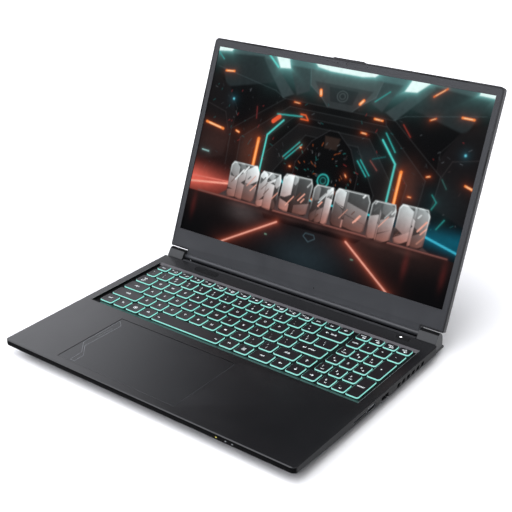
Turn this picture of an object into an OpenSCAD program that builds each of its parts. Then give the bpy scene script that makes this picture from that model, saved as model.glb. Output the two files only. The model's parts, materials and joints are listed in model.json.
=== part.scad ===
// Sixteen-inch gaming laptop: base with keyboard and touchpad, and a screen lid
// on two friction hinges. Millimetres, +Z up, +Y towards the back of the base.
// The origin is on the table plane, under the middle of the opened machine.
// Inside the modules, z = 0 is the top of the deck and y = 0 is its front edge.

/* [Base] */
// Width of the base
base_w = 360; // [356:1:364]
// Depth of the deck, from its front edge to the hinge trough
deck_d = 242.5; // [242:0.1:243]
// Height of the deck above the table
deck_h = 19; // [18.5:0.1:21]
// Wall thickness of the two base shells
wall = 2; // [1.8:0.1:2.2]
// Radius of the front corners seen from above
corner_r = 5; // [2:0.5:8]

/* [Keyboard] */
// Height of the key tops over the deck
key_top = 0.2; // [0:0.1:0.3]
// Height of one keycap
key_h = 1.5; // [1.3:0.1:1.6]
// Distance between letter keys
key_pitch = 18.16; // [18:0.01:18.2]
// Width of a letter key
key_w = 15.4; // [14.5:0.1:15.8]
// Depth of a key in the main rows
key_d = 15.6; // [14.5:0.1:15.8]
// Corner cut of the keycaps
key_c = 1; // [0.6:0.1:1.5]

/* [Touchpad] */
// Left edge of the touchpad opening
pad_x0 = -112.6; // [-114:0.1:-100]
// Right edge of the touchpad opening
pad_x1 = 39.7; // [30:0.1:41]
// Front edge of the touchpad opening
pad_y0 = 9.4; // [9:0.1:12]
// Rear edge of the touchpad opening
pad_y1 = 100; // [90:0.5:101]

/* [Lid] */
// Angle between the closed and the stored position of the lid
lid_open = 112.8; // [100:0.1:125]
// Width of the lid
lid_w = 359.6; // [358:0.2:360]
// Height of the lid from its lower edge
lid_h = 246.5; // [245:0.5:248]
// Thickness of the lid
lid_t = 7; // [6.8:0.1:7.2]
// Width of the picture
view_w = 344.7; // [340:0.1:345]
// Height of the picture
view_h = 215.4; // [210:0.1:216]
// Height of the bezel below the picture
chin = 21.9; // [21:0.1:23]

/* [Hinge] */
// Distance of the hinge axis behind the deck front edge
hinge_y = 251; // [250.8:0.1:251.2]
// Height of the hinge axis over the deck
hinge_z = 1.4; // [1.4:0.05:1.6]
// Radius of the steel hinge shafts
shaft_r = 1.9; // [1.8:0.05:2]

/* [Cooling] */
// Radius of the fan impellers
fan_r = 31; // [28:0.5:32]
// Number of fan blades
blades = 25; // [15:2:31]
// Number of fins in each stack
fins = 24; // [12:1:28]

/* [Hidden] */

lid_a = 180 - lid_open;                 // lid direction over the table at rest
va = -7.88;                             // hinge axis below the lid's lower edge
wa = -0.6;                              // hinge axis behind the bezel face
lid_c = 1.7;                            // chamfer round the back of the lid
back_y = hinge_y + (lid_h - lid_c - va) * cos(lid_a) + (lid_t + wa) * sin(lid_a);
yc = back_y / 2;                        // middle of the open machine
hx = base_w / 2;
floor_z = -deck_h + 1.8;                // underside of the bottom cover
plate_z = -2.6;                         // floor of the keyboard well
well = [-170, 170, 111.4, 224.2];
screws = [[-157, 40], [157, 40], [-157, 118], [157, 118], [-157, 220], [157, 220], [-50, 11.5], [50, 11.5]];
boss_r = 2.8;
fan_x = 116;
fan_y = 201;
row_y = [118, 136.5, 155, 173.5, 191.5, 209.3];
pad_col = [104.8, 120.3, 136.2, 151.8];

function arc(cx, cy, r, a0, a1, n) = [for (i = [0:n]) [cx + r * cos(a0 + (a1 - a0) * i / n), cy + r * sin(a0 + (a1 - a0) * i / n)]];
function rounded(x0, y0, x1, y1, rf, rb, n = 5) = concat(arc(x1 - rf, y0 + rf, rf, -90, 0, n), arc(x1 - rb, y1 - rb, rb, 0, 90, n),
  arc(x0 + rb, y1 - rb, rb, 90, 180, n), arc(x0 + rf, y0 + rf, rf, 180, 270, n));

module base() { translate([0, -yc, deck_h]) children(); }
module lid() { translate([0, hinge_y - yc, hinge_z + deck_h]) rotate([lid_a, 0, 0]) translate([0, -va, -wa]) children(); }
module bar(x0, x1, y0, y1, z0, z1) { translate([x0, y0, z0]) cube([x1 - x0, y1 - y0, z1 - z0]); }
module yz(x0, x1, pts) { translate([x0, 0, 0]) rotate([90, 0, 90]) linear_extrude(x1 - x0) polygon(pts); }
module xz(y0, y1, pts) { translate([0, y1, 0]) rotate([90, 0, 0]) linear_extrude(y1 - y0) polygon(pts); }
module xy(z0, z1, pts) { translate([0, 0, z0]) linear_extrude(z1 - z0) polygon(pts); }
module both() { children(); mirror([1, 0, 0]) children(); }
module rod_x(x0, x1, y, z, r) { translate([x0, y, z]) rotate([0, 90, 0]) cylinder(h = x1 - x0, r = r, $fn = 48); }

// ---- base shells ----

module side_slots(x0, x1) {
  for (i = [0:5]) { y = 167.8 + 9 * i; z = -8.3 + 0.12 * i; yz(x0, x1, [[y - 3.5, z], [y + 1.7, z], [y + 3.5, z + 3.7], [y - 1.7, z + 3.7]]); }
}

module top_case() {
  color("#2c2d30") base() difference() {
    intersection() {
      xy(-12, 0, rounded(-hx, 0, hx, deck_d, corner_r, 3));
      yz(-hx, hx, [[0, -6], [0, -0.8], [0.8, 0], [deck_d - 0.5, 0], [deck_d, -0.5], [deck_d, -9],
        [190, -9], [170, -9.9], [134, -9.2], [84, -9.2], [37, -8], [7, -6.3]]);
      xz(0, deck_d, [[-hx, -12], [hx, -12], [hx, -0.7], [hx - 0.7, 0], [-hx + 0.7, 0], [-hx, -0.7]]);
    }
    // room inside, deeper under the palm rest and behind the keyboard
    xy(-13, plate_z, rounded(-hx + wall, wall, hx - wall, deck_d - wall, corner_r - 1, 2));
    bar(-hx + 8, hx - 8, 6, 104, -4, -wall);
    bar(-hx + 8, hx - 8, 230, deck_d - wall - 0.5, -4, -wall);
    // keyboard well with a ramp in front and a bevel behind
    yz(well[0], well[1], [[well[2], 0.02], [117, -1.9], [117, -4], [220.5, -4], [220.5, -1.9], [well[3], 0.02]]);
    // touchpad and power button openings
    bar(pad_x0, pad_x1, pad_y0, pad_y1, -4, 1);
    xy(-4, 1, [[138.6, 232.9], [152.4, 232.9], [151.2, 239.5], [137.0, 239.5], [136.6, 236.5]]);
    // shallow step in the strip behind the keyboard
    xy(-0.35, 0.5, [[-96, 243], [-80, 239], [75, 239], [117, 243]]);
    // side vents and sockets
    both() side_slots(hx - 3, hx + 1);
    bar(hx - 3, hx + 1, 88.9, 112.1, -7.3, -5);
    bar(hx - 3, hx + 1, 113.3, 127.1, -8.7, -3.3);
    bar(hx - 3, hx + 1, 136.5, 149.5, -12, -4.3);
    bar(-hx - 1, -hx + 3, 141.3, 155.1, -8.7, -3.3);
    for (y = [118, 130]) rod_x(-hx - 1, -hx + 3, y, -6, 3);
    bar(-hx - 1, -hx + 3, 224, 231, -7.3, -4.3);
  }
}

module bottom_cover() {
  z1 = -4.8;
  color("#1d1e20") base() difference() {
    intersection() {
      xz(2.4, deck_d, [[-hx + 15.5, floor_z], [hx - 15.5, floor_z], [hx - 2.4, -9.3], [hx - 2.4, z1], [-hx + 2.4, z1], [-hx + 2.4, -9.3]]);
      yz(-hx, hx, [[14.5, floor_z], [deck_d, floor_z], [deck_d, z1], [2.4, z1], [2.4, -6.6]]);
      xy(floor_z, z1, rounded(-hx + 2.4, 2.4, hx - 2.4, deck_d, corner_r - 1, 1));
    }
    intersection() {
      xz(4, 250, [[-hx + 16.5, floor_z + 1.6], [hx - 16.5, floor_z + 1.6], [hx - 4, -8.6], [hx - 4, 0], [-hx + 4, 0], [-hx + 4, -8.6]]);
      yz(-hx, hx, [[15.3, floor_z + 1.6], [250, floor_z + 1.6], [250, 0], [4, 0], [4, -6.2]]);
    }
    // side walls are cut down beside the sockets and vents, and behind
    both() bar(hx - 8, hx, 86, 219, -8.8, 0);
    bar(-hx, hx, 238.5, 250, -15.6, 0);
    bar(hx - 12, hx, 135.2, 150.8, -13.6, 0);
    // fan intakes
    both() for (i = [0:8]) xy(floor_z - 1, floor_z + 3, [[84, 170 + 7 * i], [146, 170 + 7 * i], [148, 173.4 + 7 * i], [86, 173.4 + 7 * i]]);
    // speaker slots
    both() for (i = [0:5]) bar(112 + 6 * i, 114.4 + 6 * i, 48, 66, floor_z - 1, floor_z + 3);
    // screw holes with sunk heads
    for (s = screws) translate([s[0], s[1], 0]) {
      translate([0, 0, floor_z - 1]) cylinder(h = 12, r = 1.35, $fn = 32);
      if (s[1] > 20) translate([0, 0, floor_z - 1]) cylinder(h = 1.9, r = 2.4, $fn = 32);
    }
    for (s = [[-50, 11.5], [50, 11.5]]) translate([s[0], s[1], floor_z - 1]) cylinder(h = 4.3, r = 2.6, $fn = 32);
  }
}

module rear_shroud() {
  y0 = deck_d + 0.5;
  color("#242528") base() difference() {
    intersection() {
      xz(y0, 262, [[-hx + 15.5, floor_z], [hx - 15.5, floor_z], [hx - 3, -11.9], [hx - 3, -8], [-hx + 3, -8], [-hx + 3, -11.9]]);
      yz(-hx, hx, [[y0, floor_z], [259, floor_z], [262, -15], [262, -10], [259.6, -8], [y0, -8]]);
    }
    intersection() {
      xz(y0 - 1, 262, [[-hx + 17.5, floor_z + 1.4], [hx - 17.5, floor_z + 1.4], [hx - 5, -11.2], [hx - 5, -9.4], [-hx + 5, -9.4], [-hx + 5, -11.2]]);
      yz(-hx, hx, [[y0 - 1, floor_z + 1.4], [258.4, floor_z + 1.4], [260.6, -14.4], [260.6, -10.6], [259, -9.4], [y0 - 1, -9.4]]);
    }
    // slanted exhaust slots
    both() for (i = [0:13]) xz(259.8, 263, [[57 + 7.2 * i, -14.4], [61.4 + 7.2 * i, -14.4], [63.6 + 7.2 * i, -10.4], [59.2 + 7.2 * i, -10.4]]);
    // rear sockets
    translate([-30, 257, -12.5]) rotate([-90, 0, 0]) cylinder(h = 7, r = 3.35, $fn = 48);
    bar(-20.3, -4.5, 259, 263, -15.4, -9.6);
    bar(7.2, 17.2, 259, 263, -15.2, -9.8);
    bar(26.2, 35.8, 259, 263, -14.2, -10.8);
  }
}

module rubber_feet() {
  color("#111213") base() {
    both() xy(-deck_h, floor_z, rounded(95, 20, 150, 29, 4, 4));
    xy(-deck_h, floor_z, rounded(-140, 226, 140, 236, 4.5, 4.5));
  }
}

module bottom_screws() {
  color("#3b3c3f") base() for (s = screws) {
    z = s[1] > 20 ? floor_z + 0.9 : floor_z + 3.3;
    translate([s[0], s[1], 0]) {
      difference() {
        translate([0, 0, z - 0.8]) cylinder(h = 0.8, r = 2.2, $fn = 32);
        translate([-0.3, -1.3, z - 0.9]) cube([0.6, 2.6, 0.5]);
        translate([-1.3, -0.3, z - 0.9]) cube([2.6, 0.6, 0.5]);
      }
      translate([0, 0, z]) cylinder(h = 4.2, r = 1.2, $fn = 32);
    }
  }
}

// ---- keyboard ----

module cap(x0, x1, y0, y1) {
  xy(key_top - key_h, key_top, [[x0 + key_c, y0], [x1 - key_c, y0], [x1, y0 + key_c], [x1, y1 - key_c],
    [x1 - key_c, y1], [x0 + key_c, y1], [x0, y1 - key_c], [x0, y0 + key_c]]);
}
module key(x0, x1, row) { cap(x0, x1, row_y[row], row_y[row] + (row == 5 ? 10.6 : key_d)); }
module run(x, n, row) { for (i = [0:n - 1]) key(x + key_pitch * i, x + key_pitch * i + key_w, row); }
module keys(c = "#1b1b1e") { color(c) base() children(); }

module escape_key() { keys() key(-163.5, -149.9, 5); }
module function_keys() { keys() { for (i = [1:15]) key(-163.5 + 16.5 * i, -149.9 + 16.5 * i, 5); for (x = pad_col) key(x, x + 14, 5); } }
module backspace_key() { keys() key(69.7, 99.3, 4); }
module number_keys() { keys() { key(-163.5, -151.9, 4); run(-148.9, 12, 4); } }
module tab_key() { keys() key(-163.5, -142.2, 3); }
module letter_keys_top() { keys() { run(-139.3, 12, 3); key(78.6, 99.3, 3); } }
module caps_lock_key() { keys() key(-163.5, -137.5, 2); }
module letter_keys_home() { keys() run(-134.6, 11, 2); }
module enter_key() { keys() key(65.2, 99.3, 2); }
module left_shift_key() { keys() key(-163.5, -128.6, 1); }
module letter_keys_bottom() { keys() run(-125.7, 10, 1); }
module right_shift_key() { keys() key(55.9, 80.8, 1); }
module modifier_keys() { keys() { key(-163.5, -147.1, 0); key(-143.9, -128.7, 0); key(-125.7, -110, 0); key(-107.1, -91.7, 0);
  key(2.3, 18, 0); key(20.9, 36.6, 0); key(39.4, 62.7, 0); } }
module space_key() { keys() key(-88.8, -0.7, 0); }
module arrow_left_key() { keys() key(65.6, 80.8, 0); }
module arrow_up_key() { keys() key(83.6, 99.3, 1); }
module arrow_down_key() { keys() key(83.6, 99.3, 0); }
module arrow_right_key() { keys() key(102.2, 117.4, 0); }
module numpad_keys() {
  keys() {
    for (r = [2, 3, 4], c = [0:2]) key(pad_col[c], pad_col[c] + 14, r);
    key(pad_col[3], pad_col[3] + 14, 4);
    key(104.8, 117.4, 1);
    for (c = [1, 2]) key(pad_col[c], pad_col[c] + 14, 1);
    for (c = [1, 2]) key(pad_col[c], pad_col[c] + 14, 0);
  }
}
module numpad_plus_key() { keys() cap(pad_col[3], pad_col[3] + 14, row_y[2], row_y[3] + key_d); }
module numpad_enter_key() { keys() cap(pad_col[3], pad_col[3] + 14, row_y[0], row_y[1] + key_d); }

module keyboard_plate() {
  color("#141416") base() difference() {
    bar(-173, 173, 108, 227.5, plate_z - 0.5, plate_z);
    for (s = [[-157, 118], [157, 118], [-157, 220], [157, 220]]) translate([s[0], s[1], -4]) cylinder(h = 2, r = 0.8, $fn = 24);
  }
}
module keyboard_backlight() { color("#7fe0cf") base() bar(-171, 171, 110, 226, plate_z - 0.8, plate_z - 0.5); }

// ---- electronics and cooling ----

module mainboard() {
  color("#14392b") base() {
    difference() {
      xy(-8.2, -7.2, [[-159, 98], [159, 98], [159, 160], [76, 160], [76, 232], [-76, 232], [-76, 160], [-159, 160]]);
      both() translate([157, 118, -9]) cylinder(h = 3, r = 4.5, $fn = 32);
      for (x = [-68, 68], y = [168, 226]) translate([x, y, -9]) cylinder(h = 3, r = 1.5, $fn = 24);
    }
    bar(-43, -13, 176, 206, -9.4, -8.2);
    bar(14, 48, 172, 206, -9.4, -8.2);
    for (i = [0:5]) bar(-66 + 9 * i, -60 + 9 * i, 213, 219, -10.3, -8.2);
    for (i = [0:5]) bar(12 + 9 * i, 18 + 9 * i, 213, 219, -10.3, -8.2);
    bar(-72, 2, 98.5, 103, -12.4, -8.2);
    bar(6, 9.6, 106, 128, -11.8, -8.2);
    bar(96, 99.6, 106, 128, -11.8, -8.2);
  }
}

module battery_pack() {
  color("#232427") base() {
    for (i = [0:3]) xy(-15.3, -8.6, rounded(-94 + 47.4 * i, 22, -48.4 + 47.4 * i, 92, 3, 3));
    bar(-94, 94, 92, 95, -13, -9.6);
  }
}

module fan_housing(x) {
  color("#2a2b2e") base() translate([x, 0, 0]) difference() {
    union() {
      xy(-15.4, -7.4, [[-36, 166], [36, 166], [36, 240], [-36, 240]]);
    }
    translate([0, fan_y, -14.8]) cylinder(h = 6.8, r = fan_r + 2, $fn = 64);
    bar(-fan_r - 2, fan_r + 2, fan_y, 241, -14.8, -9.2);
    translate([0, fan_y, -16]) cylinder(h = 3, r = 22, $fn = 64);
    difference() {
      translate([0, fan_y, -9]) cylinder(h = 3, r = 24, $fn = 64);
      translate([0, fan_y, -9]) cylinder(h = 3, r = 11, $fn = 48);
      for (a = [90:120:330]) translate([0, fan_y, -9]) rotate([0, 0, a]) translate([0, -2, 0]) cube([30, 4, 3]);
    }
  }
  color("#b9bbbe") base() translate([x, fan_y, -13.4]) cylinder(h = 6, r = 1.5, $fn = 32);
}
module left_fan_housing() { fan_housing(-fan_x); }
module right_fan_housing() { fan_housing(fan_x); }

module impeller(x, s) {
  color("#3a3b3f") base() translate([x, fan_y, -14]) difference() {
    union() {
      cylinder(h = 5.4, r = 12, $fn = 64);
      for (i = [0:blades - 1]) rotate([0, 0, 360 / blades * i]) translate([10.5, -0.4, 0.2]) rotate([0, 0, 12 * s]) cube([fan_r - 12.2, 0.8, 5]);
      difference() {
        translate([0, 0, 2.2]) cylinder(h = 0.8, r = fan_r, $fn = 64);
        translate([0, 0, 2]) cylinder(h = 1.2, r = fan_r - 2, $fn = 64);
      }
    }
    translate([0, 0, -0.1]) cylinder(h = 6, r = 1.55, $fn = 32);
  }
}
module left_fan_impeller() { impeller(-fan_x, 1); }
module right_fan_impeller() { impeller(fan_x, 1); }

module heat_pipes() {
  color("#b5652f") base() {
    bar(-50, -6, 170, 212, -10.6, -9.4);
    bar(8, 54, 168, 212, -10.6, -9.4);
    for (s = [-1, 1]) {
      x0 = s < 0 ? -47 : 39;
      bar(x0, x0 + 8, 172, 254, -13.2, -10.6);
      bar(s < 0 ? -150 : x0 + 8, s < 0 ? x0 : 150, 246, 254, -13.2, -10.6);
      x1 = s < 0 ? -34 : 26;
      bar(x1, x1 + 8, 172, 208, -13.2, -10.6);
      bar(s < 0 ? -26 : 18, s < 0 ? -18 : 26, 184, 192, -13.2, -10.6);
    }
    bar(-18, 18, 184, 192, -13.2, -10.6);
  }
}

module fin_stacks() {
  color("#9a9ca0") base() both() difference() {
    union() {
      bar(62, 150, 243.6, 257.4, -15.7, -15.3);
      for (i = [0:fins - 1]) bar(62 + 87.4 / (fins - 1) * i, 62.6 + 87.4 / (fins - 1) * i, 243.6, 257.4, -15.4, -9.7);
    }
    bar(61, 151, 246, 254, -13.2, -9);
  }
}

module solid_state_drive() {
  color("#1d3a5c") base() {
    bar(9.6, 89.6, 106, 128, -9.8, -9);
    bar(14, 30, 108, 126, -11, -9.8);
    bar(36, 52, 108, 126, -11, -9.8);
    bar(58, 82, 108, 126, -11, -9.8);
  }
}
module memory_modules() {
  color("#1c4a30") base() {
    for (z = [-9.4, -11.4]) {
      bar(-70, 0, 103, 133, z - 0.8, z);
      for (i = [0:3]) bar(-66 + 17 * i, -54 + 17 * i, 110, 124, z - 1.5, z - 0.8);
    }
  }
}
module wireless_card() { color("#2a4f3b") base() { bar(99.6, 129.6, 106, 128, -9.8, -9); bar(103, 124, 109, 125, -11.2, -9.8); } }
module speakers() {
  color("#1f2023") base() both() {
    xy(-15.3, -8.4, rounded(106, 46, 150, 88, 3, 3));
    bar(114, 142, 52, 62, -8.4, -7.8);
  }
}

// ---- sockets ----

module socket_a(x0, y0) {
  difference() {
    bar(x0, x0 + 15, y0, y0 + 13.2, -8.5, -3.5);
    bar(x0 + 1.2, x0 + 16, y0 + 0.4, y0 + 12.8, -8.1, -3.9);
  }
  bar(x0 + 1, x0 + 14, y0 + 1.2, y0 + 12, -5.7, -4.4);
}
module usb_a_ports() {
  color("#9c9ea2") base() {
    translate([hx - 15.4, 0, 0]) socket_a(0, 113.6);
    mirror([1, 0, 0]) translate([hx - 15.4, 0, 0]) socket_a(0, 141.6);
  }
}
module card_reader() {
  color("#8d8f93") base() difference() {
    bar(hx - 31, hx - 0.4, 89.2, 111.8, -7.15, -5.15);
    bar(hx - 29, hx + 1, 89.9, 111.1, -6.9, -5.4);
  }
}
module ethernet_port() {
  color("#303135") base() difference() {
    bar(hx - 17, hx - 0.3, 136.8, 149.2, -9.1, -4.4);
    bar(hx - 15, hx + 1, 137.4, 148.6, -10, -4.8);
  }
}
module ethernet_jaw() {
  color("#26272a") base() difference() {
    union() {
      bar(hx - 14, hx - 0.4, 137.6, 148.4, -10.9, -9.6);
      bar(hx - 1.8, hx - 0.4, 137.6, 148.4, -11, -9.2);
      rod = 1.1;
      translate([hx - 13.4, 148.4, -10.3]) rotate([90, 0, 0]) cylinder(h = 10.8, r = rod, $fn = 32);
    }
    bar(hx - 10, hx - 4, 139.5, 146.5, -9.9, -9.4);
  }
}
module audio_jacks() {
  color("#202124") base() for (y = [118, 130]) difference() {
    union() {
      bar(-hx + 2.3, -hx + 16, y - 3.4, y + 3.4, -8.6, -3.6);
      rod_x(-hx + 0.2, -hx + 3, y, -6, 2.8);
    }
    rod_x(-hx - 1, -hx + 14.2, y, -6, 1.8);
  }
}
module power_inlet() {
  color("#1b1c1e") base() {
    difference() {
      union() {
        bar(-35, -25, 247, 256.8, -15.6, -9.5);
        translate([-30, 248, -12.5]) rotate([-90, 0, 0]) cylinder(h = 13.4, r = 3.05, $fn = 48);
      }
      translate([-30, 249.5, -12.5]) rotate([-90, 0, 0]) cylinder(h = 14, r = 2.8, $fn = 48);
    }
  }
  color("#c9a24a") base() translate([-30, 249.4, -12.5]) rotate([-90, 0, 0]) cylinder(h = 10.6, r = 0.9, $fn = 32);
}
module video_ports() {
  color("#a4a6aa") base() {
    difference() {
      xz(248, 261.6, [[-18.6, -15.1], [-6.2, -15.1], [-4.8, -13], [-4.8, -9.9], [-20, -9.9], [-20, -13]]);
      xz(249.5, 262, [[-18.3, -14.7], [-6.5, -14.7], [-5.2, -12.8], [-5.2, -10.3], [-19.6, -10.3], [-19.6, -12.8]]);
    }
    bar(-17.6, -7.2, 249.4, 260.4, -12.9, -12);
    difference() {
      bar(7.5, 16.9, 248, 261.6, -14.9, -10.1);
      bar(7.9, 16.5, 249.5, 262, -14.5, -10.5);
    }
    bar(9.2, 15.2, 249.4, 260.4, -12.9, -12.1);
    difference() {
      bar(26.5, 35.5, 248, 261.6, -14.1, -10.9);
      bar(26.8, 35.2, 249.5, 262, -13.8, -11.2);
    }
    bar(28.2, 33.8, 249.4, 260.4, -12.8, -12.2);
  }
}

// ---- things under the fingers ----

module touchpad() {
  color("#2b2c2f") base() xy(-1.5, -0.25, rounded(pad_x0 + 0.4, pad_y0 + 0.4, pad_x1 - 0.4, pad_y1 - 0.4, 1, 1, 3));
}
module touchpad_bracket() {
  color("#8e9094") base() {
    difference() {
      bar(pad_x0 - 3, pad_x1 + 3, 7, 103, -4.4, -3.4);
      for (x = [-95, -60, -13, 22]) bar(x - 12, x + 12, 34, 92, -5, -3);
    }
    translate([(pad_x0 + pad_x1) / 2, 20, -3.4]) cylinder(h = 1.2, r = 2.4, $fn = 32);
    for (x = [pad_x0 - 1.6, pad_x1 + 1.6]) bar(x - 0.8, x + 0.8, 12, 98, -3.4, -2);
  }
}
module power_button() {
  color("#1a1b1d") base() xy(-1.7, 0.1, [[139.1, 233.3], [152, 233.3], [150.9, 239.1], [137.4, 239.1], [137.1, 236.5]]);
}

// ---- hinges ----

module hinge_covers() {
  out = [[243.3, -8], [243.3, -0.2], [248.8, 7.3], [251, 8.3], [253.5, 8], [255.9, 6.2], [257.6, 3.2], [258.1, -1], [258.1, -8]];
  in = [[244.7, -9], [244.7, -0.7], [249.6, 6], [251, 6.9], [253.1, 6.7], [254.9, 5.3], [256.3, 2.8], [256.8, -1], [256.8, -9]];
  color("#3b3c40") base() both() difference() {
    yz(155.5, 177.2, out);
    yz(156.8, 175.9, in);
    rod_x(154, 158, hinge_y, hinge_z, shaft_r + 0.5);
  }
}
module hinge_brackets() {
  color("#85878b") base() both() difference() {
    union() {
      rod_x(157.4, 172, hinge_y, hinge_z, 3.2);
      bar(159, 171, 248.4, 253.6, -8, hinge_z);
      bar(158, 175, 246, 256.2, -8, -6.6);
    }
    rod_x(157, 173, hinge_y, hinge_z, shaft_r + 0.05);
  }
}
module hinge_arms() {
  color("#7b7d82") lid() both() {
    rod_x(139, 171.5, va, wa, shaft_r);
    bar(139, 152, va, 17, wa - 3, wa - 1.6);
    for (v = [5, 13]) translate([145.5, v, wa - 1.6]) cylinder(h = 0.7, r = 2, $fn = 24);
  }
}

// ---- lid ----

module lid_cover() {
  cx = 154.5;
  color("#26272a") lid() difference() {
    union() {
      intersection() {
        xy(-lid_t, 0, rounded(-lid_w / 2, 0, lid_w / 2, lid_h, 1.5, 5));
        yz(-hx, hx, [[0, 0], [lid_h, 0], [lid_h, -lid_t + lid_c], [lid_h - lid_c, -lid_t], [0.8, -lid_t], [0, -lid_t + 0.8]]);
        xz(0, lid_h, [[-lid_w / 2, 0], [lid_w / 2, 0], [lid_w / 2, -lid_t + lid_c], [lid_w / 2 - lid_c, -lid_t],
          [-lid_w / 2 + lid_c, -lid_t], [-lid_w / 2, -lid_t + lid_c]]);
      }
      yz(-cx, cx, [[1, 0], [-5.2, 0], [-8, wa], [-10.8, wa], [-10.6, -4.6], [-9.2, -lid_t], [1, -lid_t]]);
      rod_x(-cx, cx, va, wa, 2.9);
      // raised strip over the camera
      xy(-lid_t + 2, -0.6, [[-20, lid_h - 1], [21, lid_h - 1], [19, lid_h + 1], [-18, lid_h + 1]]);
    }
    xy(-lid_t + 1.4, 0.1, rounded(-lid_w / 2 + 1.6, 1.6, lid_w / 2 - 1.6, lid_h - 1.6, 1, 3.6));
    bar(-cx + 1.5, cx - 1.5, -4.7, 2, -lid_t + 1.4, 0.1);
    // bores for the hinge shafts and the cable, and slots for the arms
    both() rod_x(138, cx + 1, va, wa, shaft_r + 0.1);
    both() bar(138, 152.6, va, 2, wa - 3.3, wa - 1.4);
    rod_x(104, 139, va, wa, 1.6);
    bar(119, 129, va, 2, wa - 4.6, wa - 1);
  }
}
module screen_bezel() {
  color("#3a3b3f") lid() difference() {
    union() {
      xy(-1.2, 0, rounded(-lid_w / 2 + 1.8, 1.8, lid_w / 2 - 1.8, lid_h - 1.8, 0.8, 3.4));
      bar(-152.8, 152.8, -4.6, 3, -1.2, 0);
    }
    bar(-view_w / 2, view_w / 2, chin, chin + view_h, -2, 1);
    translate([0.8, 242.4, -2]) cylinder(h = 3, r = 1.7, $fn = 32);
    for (x = [-24.1, -11.7, 25.8]) translate([x, 242.2, -2]) cylinder(h = 3, r = 0.45, $fn = 24);
  }
}
module lcd_panel() { color("#0f1626") lid() bar(-174.5, 174.5, chin - 3.5, chin + view_h + 2, -4.2, -1.25); }
module webcam_module() {
  color("#101113") lid() {
    bar(-34, 36, 240, 244.6, -4.4, -1.3);
    translate([0.8, 242.4, -1.3]) cylinder(h = 1, r = 1.5, $fn = 32);
  }
}
module lid_bumpers() {
  color("#0d0e0f") lid() {
    for (x = [-139, 87]) bar(x, x + 52, lid_h - 1.5, lid_h - 0.2, 0, 0.4);
    both() bar(lid_w / 2 - 1.5, lid_w / 2 - 0.2, 159, 185, 0, 0.4);
  }
}
module display_cable() {
  color("#2f3033") lid() {
    bar(120, 128, va, 18, wa - 4.3, wa - 3.9);
    bar(120, 128, va, va + 0.8, wa - 3.9, wa - 1.2);
    rod_x(105, 137.5, va, wa, 1.4);
  }
}

bottom_cover();
rear_shroud();
rubber_feet();
bottom_screws();
top_case();
keyboard_plate();
keyboard_backlight();
mainboard();
battery_pack();
left_fan_housing();
right_fan_housing();
left_fan_impeller();
right_fan_impeller();
heat_pipes();
fin_stacks();
solid_state_drive();
memory_modules();
wireless_card();
speakers();
usb_a_ports();
card_reader();
ethernet_port();
ethernet_jaw();
audio_jacks();
power_inlet();
video_ports();
touchpad();
touchpad_bracket();
power_button();
hinge_brackets();
hinge_covers();
lid_cover();
screen_bezel();
lcd_panel();
webcam_module();
lid_bumpers();
hinge_arms();
display_cable();
escape_key();
function_keys();
backspace_key();
number_keys();
tab_key();
letter_keys_top();
caps_lock_key();
letter_keys_home();
enter_key();
left_shift_key();
letter_keys_bottom();
right_shift_key();
modifier_keys();
space_key();
arrow_left_key();
arrow_up_key();
arrow_down_key();
arrow_right_key();
numpad_keys();
numpad_plus_key();
numpad_enter_key();
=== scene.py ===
import json
import math

import bmesh
import bpy
import numpy as np
from mathutils import Matrix, Vector


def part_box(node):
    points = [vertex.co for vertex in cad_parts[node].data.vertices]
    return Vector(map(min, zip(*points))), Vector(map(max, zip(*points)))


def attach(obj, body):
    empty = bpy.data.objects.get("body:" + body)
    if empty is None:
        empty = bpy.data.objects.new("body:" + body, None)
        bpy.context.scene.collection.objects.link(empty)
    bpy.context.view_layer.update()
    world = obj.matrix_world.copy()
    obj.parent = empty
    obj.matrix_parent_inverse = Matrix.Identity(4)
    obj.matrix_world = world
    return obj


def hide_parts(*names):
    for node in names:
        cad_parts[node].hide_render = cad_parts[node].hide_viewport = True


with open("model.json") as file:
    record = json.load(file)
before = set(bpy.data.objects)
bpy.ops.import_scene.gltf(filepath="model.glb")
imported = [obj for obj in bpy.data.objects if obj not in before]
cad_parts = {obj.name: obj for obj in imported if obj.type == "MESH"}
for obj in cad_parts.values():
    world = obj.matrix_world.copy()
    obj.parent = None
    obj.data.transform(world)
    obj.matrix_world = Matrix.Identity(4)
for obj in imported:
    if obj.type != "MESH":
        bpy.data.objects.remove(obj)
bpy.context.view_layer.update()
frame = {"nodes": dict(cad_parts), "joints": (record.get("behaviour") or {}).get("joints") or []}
NODES = frame["nodes"]

# ------------------------------------------------------------------ frames
MM = 0.001
DECK_LO, DECK_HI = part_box("top_case")
Y0 = DECK_LO[1]  # the deck's front edge
Z0 = DECK_HI[2]  # the deck's top
AX = next(Vector(j["pos_m"]) for j in frame["joints"] if j["name"] == "lid_hinge")
OPEN = math.radians(180 - 112.8)
VA, WA = -7.88, -0.6


def D(x, y, z=0.0):
    """Deck coordinates in millimetres to the row frame."""
    return Vector((x * MM, Y0 + y * MM, Z0 + z * MM))


LID_V = Vector((0, math.cos(OPEN), math.sin(OPEN)))
LID_N = Vector((0, -math.sin(OPEN), math.cos(OPEN)))


def L(x, v, w=0.0):
    """Lid coordinates in millimetres (across, up the lid, out of the bezel) to the row frame."""
    return Vector((x * MM, AX[1], AX[2])) + LID_V * ((v - VA) * MM) + LID_N * ((w - WA) * MM)


# ------------------------------------------------------------------ camera
scene = bpy.context.scene


def rot(az, el, roll):
    a, e, r = map(math.radians, (az, el, roll))
    back = np.array([math.sin(a) * math.cos(e), -math.cos(a) * math.cos(e), math.sin(e)])
    right = np.array([math.cos(a), math.sin(a), 0.0])
    up = np.cross(back, right)
    m = np.array([right, up, back])
    c, s = math.cos(r), math.sin(r)
    return np.array([[c, s, 0], [-s, c, 0], [0, 0, 1]]) @ m


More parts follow.
